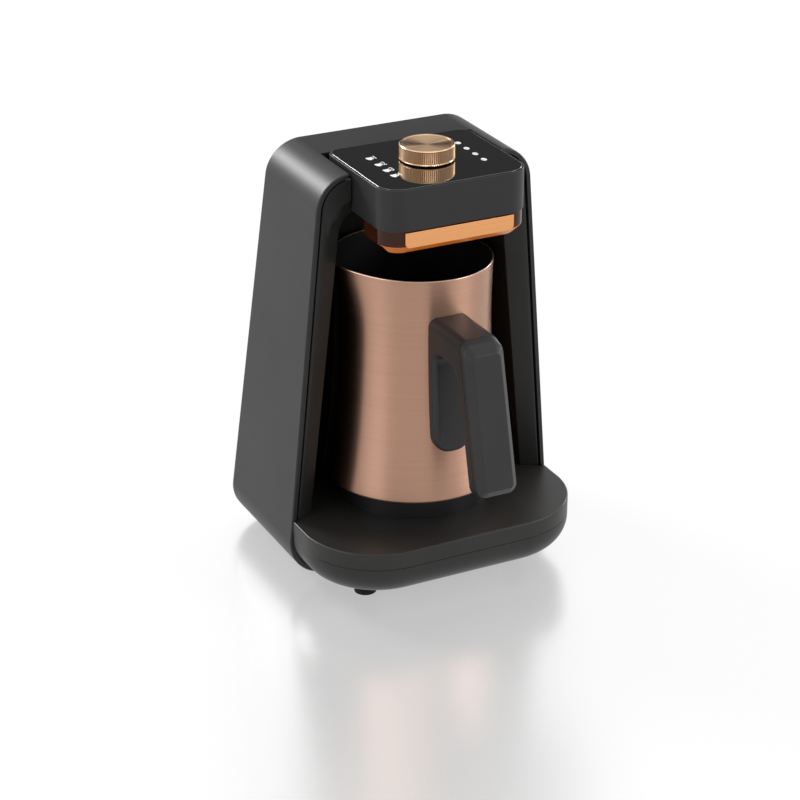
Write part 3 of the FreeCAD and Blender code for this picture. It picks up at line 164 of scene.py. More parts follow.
def spunMetal(name, deep, pale, centre, pitch, roughness):
    # anodised aluminium turned on a lathe: fine rings round its middle, with a fan of light across them
    material, tree, shader, place = startMaterial(name, {"Metallic": 1.0, "Roughness": roughness,
                                                         "Anisotropic": 0.9, "Anisotropic Rotation": 0.25})
    moved = addNode(tree, "ShaderNodeMapping",
                    {"Location": (-centre[0], -centre[1], 0.0), "Scale": (1, 1, 0)}, {"Vector": place})
    reach = addNode(tree, "ShaderNodeVectorMath", {"operation": "LENGTH"}, {0: moved.outputs["Vector"]})
    rings = addNode(tree, "ShaderNodeTexNoise",
                    {"noise_dimensions": "1D", "Scale": 1 / (pitch * mm), "Detail": 2.0},
                    {"W": reach.outputs["Value"]})
    tone = addNode(tree, "ShaderNodeValToRGB", {"stops": [(0.3, deep), (0.7, pale)]},
                   {"Fac": rings.outputs["Fac"]})
    bump = addNode(tree, "ShaderNodeBump", {"Strength": 0.25, "Distance": 0.02 * mm},
                   {"Height": rings.outputs["Fac"]})
    around = addNode(tree, "ShaderNodeTangent", {"direction_type": "RADIAL", "axis": "Z"})
    tree.links.new(tone.outputs["Color"], shader.inputs["Base Color"])
    tree.links.new(bump.outputs["Normal"], shader.inputs["Normal"])
    tree.links.new(around.outputs["Tangent"], shader.inputs["Tangent"])
    return material


def brushedSteel(name, deep, pale, roughness=0.3):
    # drawn or rolled steel and aluminium: long scratches one way
    material, tree, shader, place = startMaterial(name, {"Metallic": 1.0, "Roughness": roughness})
    streaks = addNode(tree, "ShaderNodeMapping", {"Scale": (1 / (8 * mm), 1 / (0.3 * mm), 1 / (0.3 * mm))},
                      {"Vector": place})
    brush = addNode(tree, "ShaderNodeTexNoise", {"Scale": 1.0, "Detail": 2.0},
                    {"Vector": streaks.outputs["Vector"]})
    tone = addNode(tree, "ShaderNodeValToRGB", {"stops": [(0.0, deep), (1.0, pale)]},
                   {"Fac": brush.outputs["Fac"]})
    bump = addNode(tree, "ShaderNodeBump", {"Strength": 0.2, "Distance": 0.01 * mm},
                   {"Height": brush.outputs["Fac"]})
    tree.links.new(tone.outputs["Color"], shader.inputs["Base Color"])
    tree.links.new(bump.outputs["Normal"], shader.inputs["Normal"])
    return material


def backPaintedGlass(name):
    # toughened glass with black paint behind it: a mirror-like face over a deep black
    material, tree, shader, place = startMaterial(name, {"Roughness": 0.03, "IOR": 1.52, "Coat Weight": 1.0,
                                                         "Coat Roughness": 0.02})
    depthTone = addNode(tree, "ShaderNodeTexNoise", {"Scale": 1 / (20 * mm)}, {"Vector": place})
    tone = addNode(tree, "ShaderNodeValToRGB", {"stops": [(0.0, "#050505"), (1.0, "#0a0a0b")]},
                   {"Fac": depthTone.outputs["Fac"]})
    wave = addNode(tree, "ShaderNodeBump", {"Strength": 0.02, "Distance": 0.05 * mm},
                   {"Height": depthTone.outputs["Fac"]})
    tree.links.new(tone.outputs["Color"], shader.inputs["Base Color"])
    tree.links.new(wave.outputs["Normal"], shader.inputs["Normal"])
    return material


def amberAcrylic(name):
    # tinted acrylic, polished: dark brown in front of the black parts behind it
    material, tree, shader, place = startMaterial(name, {"Roughness": 0.08, "IOR": 1.49,
                                                         "Specular IOR Level": 0.2,
                                                         "Transmission Weight": 0.25})
    swirl = addNode(tree, "ShaderNodeTexNoise", {"Scale": 1 / (18 * mm), "Detail": 1.0}, {"Vector": place})
    tone = addNode(tree, "ShaderNodeValToRGB", {"stops": [(0.0, "#341305"), (1.0, "#451b08")]},
                   {"Fac": swirl.outputs["Fac"]})
    tree.links.new(tone.outputs["Color"], shader.inputs["Base Color"])
    return material


def litAcrylic(name):
    # the band's bevelled edge, with a painted orange glow for the light of the lamps behind it
    material, tree, shader, place = startMaterial(name, {"Roughness": 0.12, "IOR": 1.49,
                                                         "Emission Strength": 0.22})
    glow = addNode(tree, "ShaderNodeTexNoise", {"Scale": 1 / (25 * mm), "Detail": 1.0}, {"Vector": place})
    tone = addNode(tree, "ShaderNodeValToRGB", {"stops": [(0.0, "#8a4010"), (1.0, "#c8722a")]},
                   {"Fac": glow.outputs["Fac"]})
    tree.links.new(tone.outputs["Color"], shader.inputs["Base Color"])
    tree.links.new(tone.outputs["Color"], shader.inputs["Emission Color"])
    return material


def nonStickCoating(name):
    # sprayed non-stick coating: dull black with a faint speckle
    material, tree, shader, place = startMaterial(name, {"Roughness": 0.42, "IOR": 1.45})
    spray = addNode(tree, "ShaderNodeTexVoronoi", {"Scale": 1 / (1.5 * mm)}, {"Vector": place})
    tone = addNode(tree, "ShaderNodeValToRGB", {"stops": [(0.0, "#191919"), (0.2, "#0d0d0d")]},
                   {"Fac": spray.outputs["Distance"]})
    bump = addNode(tree, "ShaderNodeBump", {"Strength": 0.2, "Distance": 0.02 * mm},
                   {"Height": spray.outputs["Distance"]})
    tree.links.new(tone.outputs["Color"], shader.inputs["Base Color"])
    tree.links.new(bump.outputs["Normal"], shader.inputs["Normal"])
    return material


def solderMask(name):
    # green lacquer over copper tracks 1 mm wide, which show through as a paler green
    material, tree, shader, place = startMaterial(name, {"Roughness": 0.3, "Coat Weight": 0.3})
    tracks = addNode(tree, "ShaderNodeTexBrick",
                     {"Scale": 1 / (12 * mm), "Mortar Size": 0.04, "Color1": toLinear("#0d4a23"),
                      "Color2": toLinear("#0b4220"), "Mortar": toLinear("#1d6b38")}, {"Vector": place})
    bump = addNode(tree, "ShaderNodeBump", {"Strength": 0.3, "Distance": 0.03 * mm},
                   {"Height": tracks.outputs["Fac"]})
    tree.links.new(tracks.outputs["Color"], shader.inputs["Base Color"])
    tree.links.new(bump.outputs["Normal"], shader.inputs["Normal"])
    return material


def screenPrint(name):
    # white enamel ink on the glass: flat, opaque, a little uneven, with a faint painted glow
    # the emission is a painted glow on the print
    material, tree, shader, place = startMaterial(name, {"Roughness": 0.5, "Emission Strength": 0.15,
                                                         "Emission Color": toLinear("#ffffff")})
    ink = addNode(tree, "ShaderNodeTexNoise", {"Scale": 1 / (0.6 * mm)}, {"Vector": place})
    tone = addNode(tree, "ShaderNodeValToRGB", {"stops": [(0.0, "#dedede"), (1.0, "#f6f6f6")]},
                   {"Fac": ink.outputs["Fac"]})
    tree.links.new(tone.outputs["Color"], shader.inputs["Base Color"])
    return material


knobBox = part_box("knob_cap")
knobCentre = [(knobBox[0][k] + knobBox[1][k]) / 2 for k in (0, 1)]

satinAbs = mouldedPlastic("satinBlackAbs", "#222222", "#282828", 0.42, level=0.32)
# a darker, less glossy copy of the black ABS for the alcove and the head's underside: painted shade
alcoveShadedAbs = mouldedPlastic("alcoveBlackAbsPaintedShade", "#1e1e1d", "#232322", 0.42, level=0.28)
trayAbs = mouldedPlastic("trayBlackAbs", "#232221", "#292827", 0.4, level=0.34)
handlePhenolic = mouldedPlastic("handleBlackPhenolic", "#232323", "#292929", 0.4, grain=0.9, level=0.34)
softRubber = mouldedPlastic("footRubber", "#0b0b0b", "#111111", 0.8, level=0.3)
potCopper = lacqueredCopper("potCopperLacquer", "#b28b77", "#b8917c", 0.36, 0.8)
plateCopper = lacqueredCopper("plateCopperFoil", "#eaa56c", "#efad76", 0.38)
# paler metal for the rim's crown: bare metal with a painted highlight
rimMetalAndHighlight = brushedSteel("rimBareMetalAndHighlight", "#bf9f8b", "#d2b5a2", 0.3)
# the knob's top is paler than its knurled side: spun metal with a painted highlight
knobTopMetalAndHighlight = spunMetal("knobSpunTopAndHighlight", "#d3ab86", "#ecc9a4", knobCentre, 0.35, 0.28)
knobSideMetal = brushedSteel("knobKnurledSide", "#bf9a78", "#d2ae8a", 0.34)
blackGlass = backPaintedGlass("panelBlackGlass")
amber = amberAcrylic("bandAmberAcrylic")
# the band's bevel: orange acrylic with a painted glow
amberPaintedGlow = litAcrylic("bandPaintedGlowBevel")
coating = nonStickCoating("nonStickCoating")
brightSteel = brushedSteel("brightSteel", "#9c9c9c", "#b8b8b8")
whiteCeramic = mouldedPlastic("whiteCeramic", "#d4d2cc", "#e2e0da", 0.5)
darkCase = mouldedPlastic("componentCase", "#1c1c1e", "#26262a", 0.45)
boardGreen = solderMask("boardSolderMask")
greyInsulation = mouldedPlastic("greyInsulation", "#4a4a4d", "#58585b", 0.55)
whiteInkWithGlow = screenPrint("panelWhiteInkPaintedGlow")

# every node of the construction gets its finish
finishes = [
    (satinAbs, ["outer_shell", "head_housing", "rear_cover", "cord_gland"]),
    (alcoveShadedAbs, ["alcove_housing", "head_bottom_cover"]),
    (trayAbs, ["base_tray", "base_pan"]),
    (handlePhenolic, ["handle_body", "grip_cover"]),
    (softRubber, ["front_foot_right", "front_foot_left", "rear_foot_right", "rear_foot_left"]),
    (potCopper, ["pot_body"]),
    (plateCopper, ["band_plate"]),
    (knobTopMetalAndHighlight, ["knob_cap"]),
    (blackGlass, ["glass_panel"]),
    (amber, ["light_band"]),
    (coating, ["heating_plate", "plate_collar"]),
    (brightSteel, ["heating_element", "heat_shield", "thermostat_bracket", "handle_bracket", "press_dome",
                   "encoder_shaft", "base_screws", "board_screws", "power_screws", "handle_screw"]),
    (whiteCeramic, ["light_guides", "knob_core", "thermostat", "thermal_fuse", "temperature_sensor",
                    "encoder_rotor", "terminal_block"]),
    (darkCase, ["encoder_body", "transformer", "relay", "filter_capacitor", "buzzer", "band_lamps",
                "sensor_window"]),
    (boardGreen, ["control_board", "power_board", "sensor_board"]),
    (greyInsulation, ["ribbon_cable", "heater_leads"]),
]
for material, names in finishes:
    for name in names:
        nodes[name].data.materials.clear()
        nodes[name].data.materials.append(material)
finished = {name for material, names in finishes for name in names}
print("materials made, nodes without one:", sorted(set(nodes) - finished))


# Moulded pieces: the construction's shape with its sharp edges broken, as a mould leaves them.

moulding = {"merge": 0.002 * mm, "flatAngle": 0.4, "sharpAngle": 38, "segments": 2}


def softenedPiece(name, node, material, edge, slotName):
    piece = nodes[node].copy()
    piece.data = nodes[node].data.copy()
    piece.name = name
    piece.parent = None
    for key in list(piece.keys()):
        del piece[key]
    bpy.context.scene.collection.objects.link(piece)
    activate(piece)
    bpy.ops.object.mode_set(mode="EDIT")
    bpy.ops.mesh.select_all(action="SELECT")
    bpy.ops.mesh.remove_doubles(threshold=moulding["merge"])
    bpy.ops.mesh.dissolve_limited(angle_limit=math.radians(moulding["flatAngle"]))
    bpy.ops.object.mode_set(mode="OBJECT")
    softened = piece.modifiers.new("Edges", "BEVEL")
    softened.width = edge * mm
    softened.segments = moulding["segments"]
    softened.limit_method = "ANGLE"
    softened.angle_limit = math.radians(moulding["sharpAngle"])
    softened.use_clamp_overlap = False
    softened.miter_outer = "MITER_ARC"
    applyModifiers(piece)
    smoothShading(piece)
    piece.data.materials.clear()
    piece.data.materials.append(material)
    finishPiece(piece, "machine", slotName, node)


softenedPieces = [
    # name, node, material, width of the broken edge in mm, slot
    ("outerShell", "outer_shell", satinAbs, 0.3, "shell_black"),
    ("alcoveMoulding", "alcove_housing", alcoveShadedAbs, 0.5, "shell_black"),
    ("headCasing", "head_housing", satinAbs, 0.35, "shell_black"),
    ("headUnderside", "head_bottom_cover", alcoveShadedAbs, 0.3, "shell_black"),
    ("trayTop", "base_tray", trayAbs, 0.6, "shell_black"),
    ("trayPan", "base_pan", trayAbs, 0.25, "shell_black"),
    ("rearCover", "rear_cover", satinAbs, 0.3, "shell_black"),
    ("cordGland", "cord_gland", satinAbs, 0.3, "shell_black"),
    ("controlGlass", "glass_panel", blackGlass, 0.35, "panel_glass"),
    ("amberBand", "light_band", amber, 0.3, "amber"),
    ("bandPlate", "band_plate", plateCopper, 0.25, "copper_satin"),
]
for row in softenedPieces:
    softenedPiece(*row)

# the band's bevel faces forwards and down and gets the painted glow: limits of its normal
paintedGlowBevel = {"steepest": -0.95, "flattest": -0.2, "front": -0.3}
bandPiece = bpy.data.objects["amberBand"]
bandPiece.data.materials.append(amberPaintedGlow)
for face in bandPiece.data.polygons:
    leans = paintedGlowBevel["steepest"] < face.normal.z < paintedGlowBevel["flattest"]
    face.material_index = int(leans and face.normal.y < paintedGlowBevel["front"])
print("moulded pieces:", len(softenedPieces))


# Turned pieces are drawn up ring by ring from a disc.

def ringStack(name, centre, rings, sides):
    bpy.ops.object.select_all(action="DESELECT")
    radius, height = rings[0]
    bpy.ops.mesh.primitive_circle_add(vertices=sides, radius=radius, fill_type="NGON",
                                      location=(centre[0], centre[1], height))
    piece = bpy.context.active_object
    piece.name = name
    bpy.ops.object.transform_apply(location=True)
    bpy.ops.object.mode_set(mode="EDIT")
    bpy.ops.mesh.select_all(action="SELECT")
    for nextRadius, nextHeight in rings[1:]:
        share = nextRadius / radius
        bpy.ops.mesh.extrude_region_move(TRANSFORM_OT_translate={"value": (0, 0, nextHeight - height)})
        bpy.ops.transform.resize(value=(share, share, 1), center_override=(centre[0], centre[1], nextHeight))
        radius, height = nextRadius, nextHeight
    bpy.ops.mesh.select_all(action="SELECT")
    bpy.ops.mesh.normals_make_consistent(inside=False)
    bpy.ops.object.mode_set(mode="OBJECT")
    return piece


# Pot: one big arc for its side, a rolled rim and a pulled spout on its left.

pot = {
    "waist": 44.1 * mm,
    "waistHeight": 152.5 * mm,
    "curve": 600 * mm,
    "wall": 1.2 * mm,
    "floor": 2 * mm,
    "foot": 1.6 * mm,
    "sides": 180,
    "steps": 26,
    "footSteps": 4,
    "rimSteps": 8,
    "spoutReach": 5.2 * mm,
    "spoutWidth": math.radians(21),
    "spoutDepth": 34 * mm,
    "tipRise": 1.6 * mm,
    "rimRise": 3.4 * mm,
    "bareRimAndHighlight": 0.8,
    "bareTiltAndHighlight": 0.35,
    "insideTilt": 0.2,
    "floorTilt": 0.5,
}


def potRadius(height):
    drop = height - pot["waistHeight"]
    return pot["waist"] + pot["curve"] - math.sqrt(pot["curve"] ** 2 - drop ** 2)


# the handle lies in the pot's middle plane, and the pot is widest at its foot
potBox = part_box("pot_body")
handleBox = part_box("handle_body")
potAxis = [(handleBox[0].x + handleBox[1].x) / 2, potBox[1].y - potRadius(potBox[0].z)]


def potRings(low, rim):
    foot, wall = pot["foot"], pot["wall"]
    rings = [(potRadius(low) - 2 * foot, low), (potRadius(low) - foot, low)]
    for step in range(1, pot["footSteps"] + 1):
        turn = math.radians(90 * step / pot["footSteps"])
        rings.append((potRadius(low + foot) - foot * (1 - math.sin(turn)), low + foot * (1 - math.cos(turn))))
    top = rim - wall
    for step in range(1, pot["steps"] + 1):
        height = low + foot + (top - low - foot) * step / pot["steps"]
        rings.append((potRadius(height), height))
    for step in range(1, pot["rimSteps"]):
        turn = math.pi * step / pot["rimSteps"]
        rings.append((potRadius(top) - wall / 2 * (1 - math.cos(turn)), top + wall / 2 * math.sin(turn)))
    for step in range(pot["steps"] + 1):
        height = top - (top - low - pot["floor"] * 2) * step / pot["steps"]
        rings.append((potRadius(height) - wall, height))
    rings.append((potRadius(low) - wall - pot["floor"], low + pot["floor"]))
    return rings


def pullSpout(piece, rim):
    # the spout leans out to the left, and the rim climbs towards it
    for vertex in piece.data.vertices:
        across, along = vertex.co.x - potAxis[0], vertex.co.y - potAxis[1]
        reach = math.hypot(across, along)
        lift = (vertex.co.z - (rim - pot["spoutDepth"])) / pot["spoutDepth"]
        if lift <= 0 or reach < pot["waist"] / 2:
            continue
        turn = math.atan2(along, -across)
        near = math.exp(-(turn / pot["spoutWidth"]) ** 2) * lift ** 1.8
        share = 1 + pot["spoutReach"] * near / reach
        vertex.co.x = potAxis[0] + across * share
        vertex.co.y = potAxis[1] + along * share
        vertex.co.z += pot["tipRise"] * near * lift + pot["rimRise"] * (1 + math.cos(turn)) / 2 * lift ** 2


def makePot():
    low, high = potBox
    piece = ringStack("potShell", potAxis, potRings(low.z, high.z), pot["sides"])
    pullSpout(piece, high.z)
    for material in (potCopper, coating, rimMetalAndHighlight):
        piece.data.materials.append(material)
    for face in piece.data.polygons:
        # bare metal with a painted highlight on the rim's crown, coating inside, copper lacquer on the rest
        across, along = face.center.x - potAxis[0], face.center.y - potAxis[1]
        outwards = (face.normal.x * across + face.normal.y * along) / max(math.hypot(across, along), mm)
        onRim = face.center.z > high.z - pot["wall"] * pot["bareRimAndHighlight"]
        onFloor = face.normal.z > pot["floorTilt"] and face.center.z < low.z + 3 * pot["floor"]
        if onRim and face.normal.z > pot["bareTiltAndHighlight"]:
            face.material_index = 2
        elif outwards < -pot["insideTilt"] or onFloor:
            face.material_index = 1
    smoothShading(piece, 50)
    finishPiece(piece, "pot", "copper_satin", "pot_body")
    print("pot:", len(piece.data.polygons), "faces, axis at", [round(v, 4) for v in potAxis])


makePot()


# Handle: pad on the pot, arm and grip in one moulding, closed in front by a bevelled cover.

handle = {
    "half": 12 * mm,
    "top": 163.3 * mm,
    "armBottom": 144.8 * mm,
    "padBottom": 83.6 * mm,
    "padReach": 48.5 * mm,
    "padFlare": 4 * mm,
    "gripFront": 85.25 * mm,
    "slope": 0.2493,
    "gripBottom": 77 * mm,
    "gripThick": 15.6 * mm,
    "coverThick": 7.6 * mm,
    "coverDrop": 3 * mm,
    "inner": 9 * mm,
    "padCorner": 10.5 * mm,
    "topCorner": 5.5 * mm,
    "gripCorner": 5.5 * mm,
    "frontBevel": 3.6 * mm,
    "edge": 3.6 * mm,
    "coverEdge": 0.5 * mm,
    "coverSharp": 22,
    "armRound": 8.1 * mm,
    "shortest": 4 * mm,
    "endHeight": 10 * mm,
    "roundSteps": 8,
    "edgeSteps": 6,
    "coverSteps": 3,
    "near": 0.1 * mm,
    "potGap": 0.1 * mm,
    "padHeights": range(50, 187, 3),
}


def sideProfile(name, points, half):
    # a flat outline in the plane of the handle, pulled out to both sides
    bpy.ops.object.select_all(action="DESELECT")
    bpy.ops.mesh.primitive_circle_add(vertices=len(points), radius=mm, fill_type="NGON", location=(0, 0, 0))
    piece = bpy.context.active_object
    piece.name = name
    for vertex, (along, height) in zip(piece.data.vertices, points):
        vertex.co = (-half, along, height)
    bpy.ops.object.mode_set(mode="EDIT")
    bpy.ops.mesh.select_all(action="SELECT")
    bpy.ops.mesh.extrude_region_move(TRANSFORM_OT_translate={"value": (2 * half, 0, 0)})
    bpy.ops.mesh.select_all(action="SELECT")
    bpy.ops.mesh.normals_make_consistent(inside=False)
    bpy.ops.object.mode_set(mode="OBJECT")
    return piece


def roundEdges(piece, width, segments, wanted):
    # bevels the edges whose two ends pass the test
    activate(piece)
    bpy.ops.object.mode_set(mode="EDIT")
    bpy.ops.mesh.select_mode(type="EDGE")
    bpy.ops.mesh.select_all(action="DESELECT")
    bpy.ops.object.mode_set(mode="OBJECT")
    for edge in piece.data.edges:
        first, second = [piece.data.vertices[k].co for k in edge.vertices]
        edge.select = wanted(first, second)
    bpy.ops.object.mode_set(mode="EDIT")
    bpy.ops.mesh.bevel(offset=width, segments=segments, affect="EDGES", clamp_overlap=True)
    bpy.ops.object.mode_set(mode="OBJECT")


def weighSharp(piece, width, segments, kept):
    # a bevel for every edge that is still sharp, but for the kept ones
    activate(piece)
    bpy.ops.object.mode_set(mode="EDIT")
    bpy.ops.mesh.select_mode(type="EDGE")
    bpy.ops.mesh.select_all(action="DESELECT")
    bpy.ops.mesh.edges_select_sharp(sharpness=math.radians(50))
    bpy.ops.object.mode_set(mode="OBJECT")
    weights = piece.data.attributes.new("bevel_weight_edge", "FLOAT", "EDGE")
    for edge in piece.data.edges:
        first, second = [piece.data.vertices[k].co for k in edge.vertices]
        weights.data[edge.index].value = float(edge.select and not kept(first, second))
    rounding = piece.modifiers.new("Rounding", "BEVEL")
    rounding.limit_method = "WEIGHT"
    rounding.width = width
    rounding.segments = segments
    rounding.use_clamp_overlap = False
    applyModifiers(piece)


def gripLine(height):
    return handle["gripFront"] + handle["slope"] * (handle["top"] - height)


def makeHandle(axis):
    h = handle
    near, steps = h["near"], h["roundSteps"]
    lean = math.sqrt(1 + h["slope"] ** 2)
    level, back = h["coverThick"] * lean, h["gripThick"] * lean
    seamBottom = h["gripBottom"] + h["slope"] * (h["gripThick"] - h["coverThick"])
    frontBottom = h["gripBottom"] + h["slope"] * h["gripThick"]
    inner = h["padReach"] - h["inner"]
    outline = [(inner, h["padBottom"]), (h["padReach"] + h["padFlare"], h["padBottom"]),
               (h["padReach"], h["armBottom"]), (gripLine(h["armBottom"]) - back, h["armBottom"]),
               (gripLine(h["gripBottom"]) - back, h["gripBottom"]),
               (gripLine(seamBottom) - level, seamBottom),
               (gripLine(h["top"]) - level, h["top"]), (inner, h["top"])]
    body = sideProfile("handleBody", [(axis - reach, height) for reach, height in outline], h["half"])

    def along(first, second, direction):
        return all(abs(first[k] - second[k]) < near for k in range(3) if k != direction)

    def outer(point):
        return abs(abs(point.x) - h["half"]) < near

    def onSeam(point):
        return abs((axis - point.y) - (gripLine(point.z) - level)) < near

    def lengthwise(height):
        # the two outer edges that run front to back at this height
        return lambda a, b: outer(a) and outer(b) and along(a, b, 1) and abs(a.z - height) < near

    roundEdges(body, h["armRound"], steps,
               lambda a, b: along(a, b, 0) and abs(a.z - h["armBottom"]) < near)
    roundEdges(body, h["padCorner"], steps, lengthwise(h["padBottom"]))
    roundEdges(body, h["gripCorner"], steps,
               lambda a, b: outer(a) and a.x * b.x > 0 and abs(a.y - b.y) > h["shortest"]
               and max(a.z, b.z) < seamBottom + near)
    roundEdges(body, h["topCorner"], h["edgeSteps"], lengthwise(h["top"]))
    weighSharp(body, h["edge"], h["edgeSteps"],
               lambda a, b: onSeam(a) and onSeam(b) or axis - max(a.y, b.y) < inner + near)

    # the pad's back is cut to the pot's side
    side = [(potRadius(z * mm) + h["potGap"], z * mm) for z in h["padHeights"]]
    cutter = ringStack("potOutline", [0, axis], side, pot["sides"])
    hollow = body.modifiers.new("Pot", "BOOLEAN")
    hollow.operation = "DIFFERENCE"
    hollow.solver = "EXACT"
    hollow.object = cutter
    applyModifiers(body)
    bpy.data.objects.remove(cutter)
    smoothShading(body)
    body.data.materials.append(handlePhenolic)
    finishPiece(body, "pot", "handle_black", "handle_body")

    frontTop = h["top"] - h["coverDrop"]
    outline = [(gripLine(seamBottom) - level, seamBottom), (gripLine(frontBottom), frontBottom),
               (gripLine(frontTop), frontTop), (gripLine(h["top"]) - level, h["top"])]
    cover = sideProfile("gripCover", [(axis - reach, height) for reach, height in outline], h["half"])
    roundEdges(cover, h["gripCorner"], steps,
               lambda a, b: a.x * b.x > 0 and abs(a.z - b.z) < h["endHeight"])

    def onFront(point):
        return abs((axis - point.y) - gripLine(point.z)) < near

    roundEdges(cover, h["frontBevel"], 1, lambda a, b: onFront(a) and onFront(b))
    soften = cover.modifiers.new("Edges", "BEVEL")
    soften.width = h["coverEdge"]
    soften.segments = h["coverSteps"]
    soften.limit_method = "ANGLE"
    soften.angle_limit = math.radians(h["coverSharp"])
    applyModifiers(cover)
    smoothShading(cover)
    cover.data.materials.append(handlePhenolic)
    finishPiece(cover, "pot", "handle_black", "grip_cover")
    print("handle:", len(body.data.polygons), "and", len(cover.data.polygons), "faces")


makeHandle(potAxis[1])


# Knob: knurled side, bright chamfer and a shallow dish turned in its top.

knob = {
    "inside": 12.6 * mm,
    "reach": 0.4 * mm,
    "roof": 2.4 * mm,
    "sides": 168,
    "knurlDepth": 0.03,
    "chamfer": 0.55 * mm,
    "lip": 0.9 * mm,
    "dishEdge": 0.2 * mm,
    "dish": 0.7 * mm,
    "dishSteps": 6,
    "sideTilt": 0.25,
    "smooth": 25,
}


def makeKnob():
    low, high = knobBox
    low = low - Vector((0, 0, knob["reach"]))
    radius = (high.x - low.x) / 2
    chamfer, inside = knob["chamfer"], knob["inside"]
    rings = [(inside, high.z - knob["roof"]), (inside, low.z + chamfer / 2), (inside + chamfer / 2, low.z),
             (radius - chamfer / 2, low.z), (radius, low.z + chamfer / 2), (radius, low.z + chamfer * 1.5),
             (radius, high.z - chamfer * 2.2), (radius, high.z - chamfer),
             (radius - chamfer * 0.9, high.z - chamfer * 0.1), (radius - chamfer * 1.2, high.z),
             (radius - knob["lip"] - chamfer, high.z)]
    edge = radius - knob["lip"] - chamfer * 1.6
    for step in range(knob["dishSteps"] + 1):
        share = 1 - step / (knob["dishSteps"] + 1)
        rings.append((edge * share, high.z - knob["dishEdge"] - knob["dish"] * (1 - share ** 2)))
    piece = ringStack("knobCap", knobCentre, rings, knob["sides"])
    for vertex in piece.data.vertices:
        across, along = vertex.co.x - knobCentre[0], vertex.co.y - knobCentre[1]
        onSide = low.z + chamfer < vertex.co.z < high.z - chamfer * 1.5
        tooth = round(math.atan2(along, across) / (2 * math.pi) * knob["sides"]) % 2
        if onSide and tooth and math.hypot(across, along) > radius * 0.99:
            vertex.co.x = knobCentre[0] + across * (1 - knob["knurlDepth"])
            vertex.co.y = knobCentre[1] + along * (1 - knob["knurlDepth"])
    piece.data.materials.append(knobTopMetalAndHighlight)
    piece.data.materials.append(knobSideMetal)
    # faces that look up get the paler top metal with its painted highlight, the rest the knurled side
    for face in piece.data.polygons:
        face.material_index = int(face.normal.z < knob["sideTilt"])
    smoothShading(piece, knob["smooth"])
    finishPiece(piece, "knob", "copper_spun", "knob_cap")
    print("knob:", len(piece.data.polygons), "faces")


makeKnob()


# Hot plate with two shallow rings pressed in it.

hotPlate = {
    "groove": 0.4 * mm,
    "grooveWidth": 1.2 * mm,
    "rings": (0.55, 0.82),
    "hub": 0.2,
    "edge": 0.5 * mm,
    "spigotGap": 2.2 * mm,
    "sides": 144,
}


def makeHotPlate():
    low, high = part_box("heating_plate")
    centre = [(low.x + high.x) / 2, (low.y + high.y) / 2]
    radius = (high.x - low.x) / 2
    edge, groove, width = hotPlate["edge"], hotPlate["groove"], hotPlate["grooveWidth"]
    middle = (low.z + high.z) / 2
    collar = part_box("plate_collar")
    spigot = (collar[1].x - collar[0].x) / 2 - hotPlate["spigotGap"]
    rings = [(spigot - edge, low.z), (spigot, low.z + edge / 2), (spigot, middle),
             (radius - edge / 2, middle), (radius, middle + edge / 2), (radius, high.z - edge),
             (radius - edge * 0.3, high.z - edge * 0.3), (radius - edge, high.z)]
    for share in reversed(hotPlate["rings"]):
        rings += [(radius * share + width, high.z), (radius * share + width / 2, high.z - groove),
                  (radius * share - width / 2, high.z - groove), (radius * share - width, high.z)]
    rings.append((radius * hotPlate["hub"], high.z))
    piece = ringStack("hotPlate", centre, rings, hotPlate["sides"])
    piece.data.materials.append(coating)
    smoothShading(piece)
    finishPiece(piece, "machine", "hot_plate", "heating_plate")
    print("hot plate:", len(piece.data.polygons), "faces")


makeHotPlate()


# Symbols on the glass: cups with plain numbers on the left, beans on the right.

symbols = {
    "column": 27 * mm,
    "leftRows": (12.5, 1.5, -8.5, -17.5),
    "rightRows": (13.5, 3.5, -6.5, -16.5),
    "digit": 4.6 * mm,
    "digitAside": 2.7 * mm,
    "digitStretch": 0.85,
    "cup": 1.7 * mm,
    "cupAside": 0.9 * mm,
    "brim": 0.35,
    "ear": 0.42,
    "earWire": 0.14,
    "earPlace": (1.05, 0.1),
    "bean": 1.3 * mm,
    "beanShape": (1.2, 0.9),
    "beanTurns": (20, 45, 70, 95),
    "slit": 0.14,
    "stretch": 1.8,
    "sides": 28,
    "thick": 0.04 * mm,
    "lift": 0.03 * mm,
}


def joinPieces(made, name):
    bpy.ops.object.select_all(action="DESELECT")
    for item in made:
        item.select_set(True)
    bpy.context.view_layer.objects.active = made[0]
    bpy.ops.object.join()
    piece = bpy.context.active_object
    piece.name = name
    bpy.ops.object.transform_apply(location=True, rotation=True, scale=True)
    return piece


def printedDigit(body, x, y, z):
    bpy.ops.object.select_all(action="DESELECT")
    bpy.ops.object.text_add(location=(x, y, z))
    text = bpy.context.active_object
    text.data.body = body
    text.data.size = symbols["digit"]
    text.data.extrude = symbols["thick"] / 2
    text.data.align_x = "CENTER"
    text.data.align_y = "CENTER"
    text.scale.y = symbols["stretch"] * symbols["digitStretch"]
    bpy.ops.object.convert(target="MESH")
    bpy.ops.object.transform_apply(location=True, rotation=True, scale=True)
    return bpy.context.active_object


def inkDisc(size, x, y, z):
    # a thin disc, left in edit mode with all of it selected
    bpy.ops.object.select_all(action="DESELECT")
    bpy.ops.mesh.primitive_cylinder_add(vertices=symbols["sides"], radius=size, depth=symbols["thick"],
                                        location=(x, y, z))
    disc = bpy.context.active_object
    bpy.ops.object.transform_apply(location=True)
    bpy.ops.object.mode_set(mode="EDIT")
    bpy.ops.mesh.select_all(action="SELECT")
    return disc


